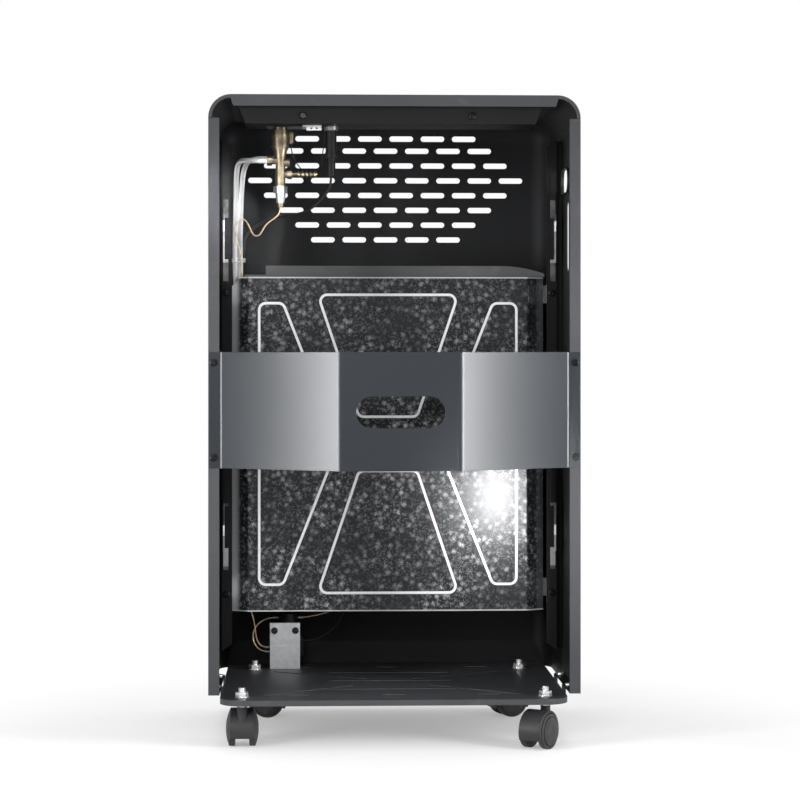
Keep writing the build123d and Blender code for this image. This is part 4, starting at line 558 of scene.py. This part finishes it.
nylon, place = begin_finish("natural_nylon_tie")
close_finish(place, tint(cloud(place, 300, 2), (0.52, 0.51, 0.46), (0.36, 0.35, 0.31)), 0.45,
             height=cloud(place, 1600, 2), relief=0.00005)
dress(nylon, "cable_tie")

copper, place = begin_finish("copper_probe")
sooty = fade(cloud(place, 200, 3), 0.4, 0.7)
close_finish(place, tint(sooty, (0.70, 0.45, 0.25), (0.25, 0.17, 0.11)), 0.3 + 0.2 * sooty, 1.0)
dress(copper, "thermocouple_probe")

glaze, place = begin_finish("white_glazed_ceramic")
speck = fade(cloud(place, 700, 3), 0.62, 0.75)
close_finish(place, tint(speck, (0.88, 0.87, 0.84), (0.45, 0.42, 0.38)), 0.18)
dress(glaze, "spark_electrode")

# ---------------------------------------------------------------- controls
# Moulded black phenolic: the fluted control knob with its white pointer, the igniter with its button, and the
# tilt switch on its bracket.

moulded, place = begin_finish("moulded_black_plastic")
pores = cloud(place, 1500, 2)
wear = fade(cloud(place, 120, 4), 0.55, 0.8)
plastic_colour = tint(wear, (0.006, 0.006, 0.0065), (0.018, 0.018, 0.019))
close_finish(place, plastic_colour, 0.28 + 0.18 * pores + 0.1 * wear, height=pores, relief=0.00005, edge=0.0005,
             sheen=0.12)
dress(moulded, "igniter_body", "igniter_button", "tilt_switch_body")

knob_low, knob_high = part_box("control_knob")
knob_middle = (knob_low + knob_high) / 2
knob_finish, place = begin_finish("knob_plastic_with_pointer")
across, deep, up = axes_of(place)
pores = cloud(place, 1500, 2)
pointer = (place.math("ABSOLUTE", across - knob_middle.x) < 0.0009) * (deep < knob_middle.y - 0.004)
pointer = pointer * (up > knob_high.z - 0.0012)
knob_colour = tint(pores, (0.007, 0.007, 0.0075), (0.016, 0.016, 0.017))
close_finish(place, tint(pointer, knob_colour, (0.72, 0.72, 0.70)), 0.32 + 0.18 * pores, height=pores,
             relief=0.00005, edge=0.0005, sheen=0.3)
dress(knob_finish, "control_knob")

# ---------------------------------------------------------------- igniter spring
# A small coil of hard drawn wire in the igniter's bore, which pushes the button back up. In the igniter it shortens
# as the button goes down; here it is built once, at the spring part's height, with its foot on the floor of the bore.

spring_steel, place = begin_finish("spring_steel_wire")
close_finish(place, tint(cloud(place, 400, 3), (0.60, 0.61, 0.62), (0.40, 0.40, 0.41)), 0.3, 1.0)

coil_low, coil_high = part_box("igniter_spring")
coil_middle = (coil_low + coil_high) / 2
coil_height = coil_high.z - coil_low.z
coil_turns = 7
coil_steps = 20
wire_sides = 8
wire_radius = 0.0005
coil_radius = (coil_high.x - coil_low.x) / 2 - wire_radius
coil_rise = coil_height - 2 * wire_radius
coil = bmesh.new()
rings = []
for step in range(coil_turns * coil_steps + 1):
    turn = math.radians(step * 360 / coil_steps)
    level = coil_low.z + wire_radius + coil_rise * step / (coil_turns * coil_steps)
    ring = []
    for side in range(wire_sides):
        lean = math.radians(side * 360 / wire_sides)
        reach = coil_radius + wire_radius * math.cos(lean)
        ring.append(coil.verts.new((coil_middle.x + reach * math.cos(turn), coil_middle.y + reach * math.sin(turn),
                                    level + wire_radius * math.sin(lean))))
    rings.append(ring)
for first, second in zip(rings, rings[1:]):
    for side in range(wire_sides):
        coil.faces.new((first[side], first[side - 1], second[side - 1], second[side])).smooth = True
for cap in (rings[0], rings[-1]):
    coil.faces.new(cap)
bmesh.ops.recalc_face_normals(coil, faces=coil.faces)
coil_mesh = bpy.data.meshes.new("igniter_coil")
coil.to_mesh(coil_mesh)
coil.free()
coil_mesh.materials.append(spring_steel)
igniter_coil = bpy.data.objects.new("igniter_coil", coil_mesh)
scene.collection.objects.link(igniter_coil)
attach(igniter_coil, "cabinet")
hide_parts("igniter_spring")
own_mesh(igniter_coil)

# ---------------------------------------------------------------- dial print
# Plain pad-printed marks on the tray's floor: an off dot where the pointer rests, an arc of ticks with the
# settings 1 to 3 over the last 120 degrees of the knob's turn, and a spark beside the igniter's button.

print_white, place = begin_finish("white_pad_print")
thin_spots = fade(cloud(place, 900, 3), 0.55, 0.75)
close_finish(place, tint(thin_spots, (0.74, 0.74, 0.72), (0.42, 0.42, 0.41)), 0.55, height=thin_spots, relief=0.00002)
tray_top = tray_underside + 0.001
ink_lift = 0.00002
ink_thickness = 0.00008
dial_reach = (knob_high.x - knob_low.x) / 2 + 0.0012
dial_turn = 12


def print_shape(name, outlines):
    """Flat printed shapes on the tray, with the ink's own thickness."""
    ink = bmesh.new()
    for outline in outlines:
        flat = ink.faces.new([ink.verts.new((x, y, tray_top + ink_lift)) for x, y in outline])
        raised = bmesh.ops.extrude_face_region(ink, geom=[flat])["geom"]
        corners = [item for item in raised if isinstance(item, bmesh.types.BMVert)]
        bmesh.ops.translate(ink, vec=(0, 0, ink_thickness), verts=corners)
    bmesh.ops.recalc_face_normals(ink, faces=ink.faces)
    mesh = bpy.data.meshes.new(name)
    ink.to_mesh(mesh)
    ink.free()
    mesh.materials.append(print_white)
    shape = bpy.data.objects.new(name, mesh)
    scene.collection.objects.link(shape)
    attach(shape, "cabinet")
    return shape


def tick(angle, start, end, half):
    """The outline of one tick on the dial, between two radii, tapered towards the knob."""
    along = Vector((math.cos(angle), math.sin(angle)))
    side = Vector((-along.y, along.x))
    middle = Vector((knob_middle.x, knob_middle.y))
    return [middle + start * along - 0.6 * half * side, middle + end * along - half * side,
            middle + end * along + half * side, middle + start * along + 0.6 * half * side]


dial_angles = [math.radians(dial_turn * step) for step in range(11)]
ticks = [tick(angle, dial_reach, dial_reach + (0.0032 if number % 5 == 0 else 0.0018), 0.0004)
         for number, angle in enumerate(dial_angles)]
dot_radius = 0.0011
dot_level = knob_middle.y - dial_reach - 0.0014
off_dot = [(knob_middle.x + dot_radius * math.cos(turn), dot_level + dot_radius * math.sin(turn))
           for turn in [math.radians(15 * step) for step in range(24)]]
print_shape("dial_ticks", ticks + [off_dot])
button_low, button_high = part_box("igniter_button")
spark_x = button_low.x - 0.012
spark_y = (button_low.y + button_high.y) / 2
spark_star = []
for number in range(16):
    reach = (0.0040, 0.0012, 0.0026, 0.0012)[number % 4]
    turn = math.radians(22.5 * number)
    spark_star.append((spark_x + reach * math.cos(turn), spark_y + reach * math.sin(turn)))
print_shape("spark_mark", [spark_star])

for number, angle in enumerate((0, 5 * dial_turn, 10 * dial_turn), start=1):
    numeral = bpy.data.curves.new(f"dial_numeral_{number}", "FONT")
    numeral.body = str(number)
    numeral.size = 0.0062
    numeral.extrude = 0.00004
    numeral.align_x = "CENTER"
    numeral.align_y = "CENTER"
    numeral.materials.append(print_white)
    holder = bpy.data.objects.new(f"dial_numeral_{number}", numeral)
    reach = dial_reach + 0.0068
    holder.location = (knob_middle.x + reach * math.cos(math.radians(angle)),
                       knob_middle.y + reach * math.sin(math.radians(angle)), tray_top + 0.00006)
    scene.collection.objects.link(holder)
    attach(holder, "cabinet")

# ---------------------------------------------------------------- crimp sleeves
# Tinned sleeves crimped on the four thin leads where they enter the tilt switch. Each has a bell mouth and the
# waist that the tool pressed in.

crimp_profile = [(0.0, 0.0011), (0.0006, 0.0014), (0.0018, 0.00125), (0.0024, 0.00100), (0.0036, 0.00100),
                 (0.0042, 0.00125), (0.0052, 0.00135), (0.0056, 0.0011)]
crimp_sides = 16
crimps = bmesh.new()
crimped_ends = ((thermocouple_route[-1], 1), (tilt_loop_route[-1], 1), (probe_route[0], -1), (tilt_loop_route[0], 1))
for end, way in crimped_ends:
    rings = []
    for along, radius in crimp_profile:
        rings.append([crimps.verts.new((end[0] + way * (0.0016 + along), end[1] + radius * math.cos(turn),
                                        end[2] + radius * math.sin(turn)))
                      for turn in [math.radians(step * 360 / crimp_sides) for step in range(crimp_sides)]])
    for first, second in zip(rings, rings[1:]):
        for step in range(crimp_sides):
            crimps.faces.new((first[step], first[step - 1], second[step - 1], second[step]))
    for cap in (rings[0], rings[-1]):
        crimps.faces.new(cap)
bmesh.ops.recalc_face_normals(crimps, faces=crimps.faces)
for face in crimps.faces:
    face.smooth = len(face.verts) == 4
crimp_mesh = bpy.data.meshes.new("crimp_sleeves")
crimps.to_mesh(crimp_mesh)
crimps.free()
crimp_mesh.materials.append(zinc)
crimp_sleeves = bpy.data.objects.new("crimp_sleeves", crimp_mesh)
scene.collection.objects.link(crimp_sleeves)
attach(crimp_sleeves, "cabinet")

# ---------------------------------------------------------------- castors
# Four twin-wheel furniture castors on threaded stems: moulded dark grey bodies with hoods, and harder wheels
# with a matt tread.

castor_body, place = begin_finish("castor_body_plastic")
flow = cloud(place, 60, 4)
close_finish(place, tint(flow, (0.020, 0.020, 0.0215), (0.034, 0.034, 0.036)), 0.42 + 0.14 * flow,
             height=cloud(place, 1400, 2), relief=0.00005, edge=0.0006, sheen=0.3)
tread, place = begin_finish("castor_wheel_plastic")
dusty = fade(cloud(place, 90, 4), 0.4, 0.75)
close_finish(place, tint(dusty, (0.028, 0.028, 0.0295), (0.058, 0.058, 0.060)), 0.55 + 0.2 * dusty,
             height=cloud(place, 1200, 2), relief=0.00008, edge=0.0006, sheen=0.3)
for number in range(1, 5):
    dress(castor_body, f"castor_fork_{number}")
    dress(tread, f"castor_wheels_{number}")
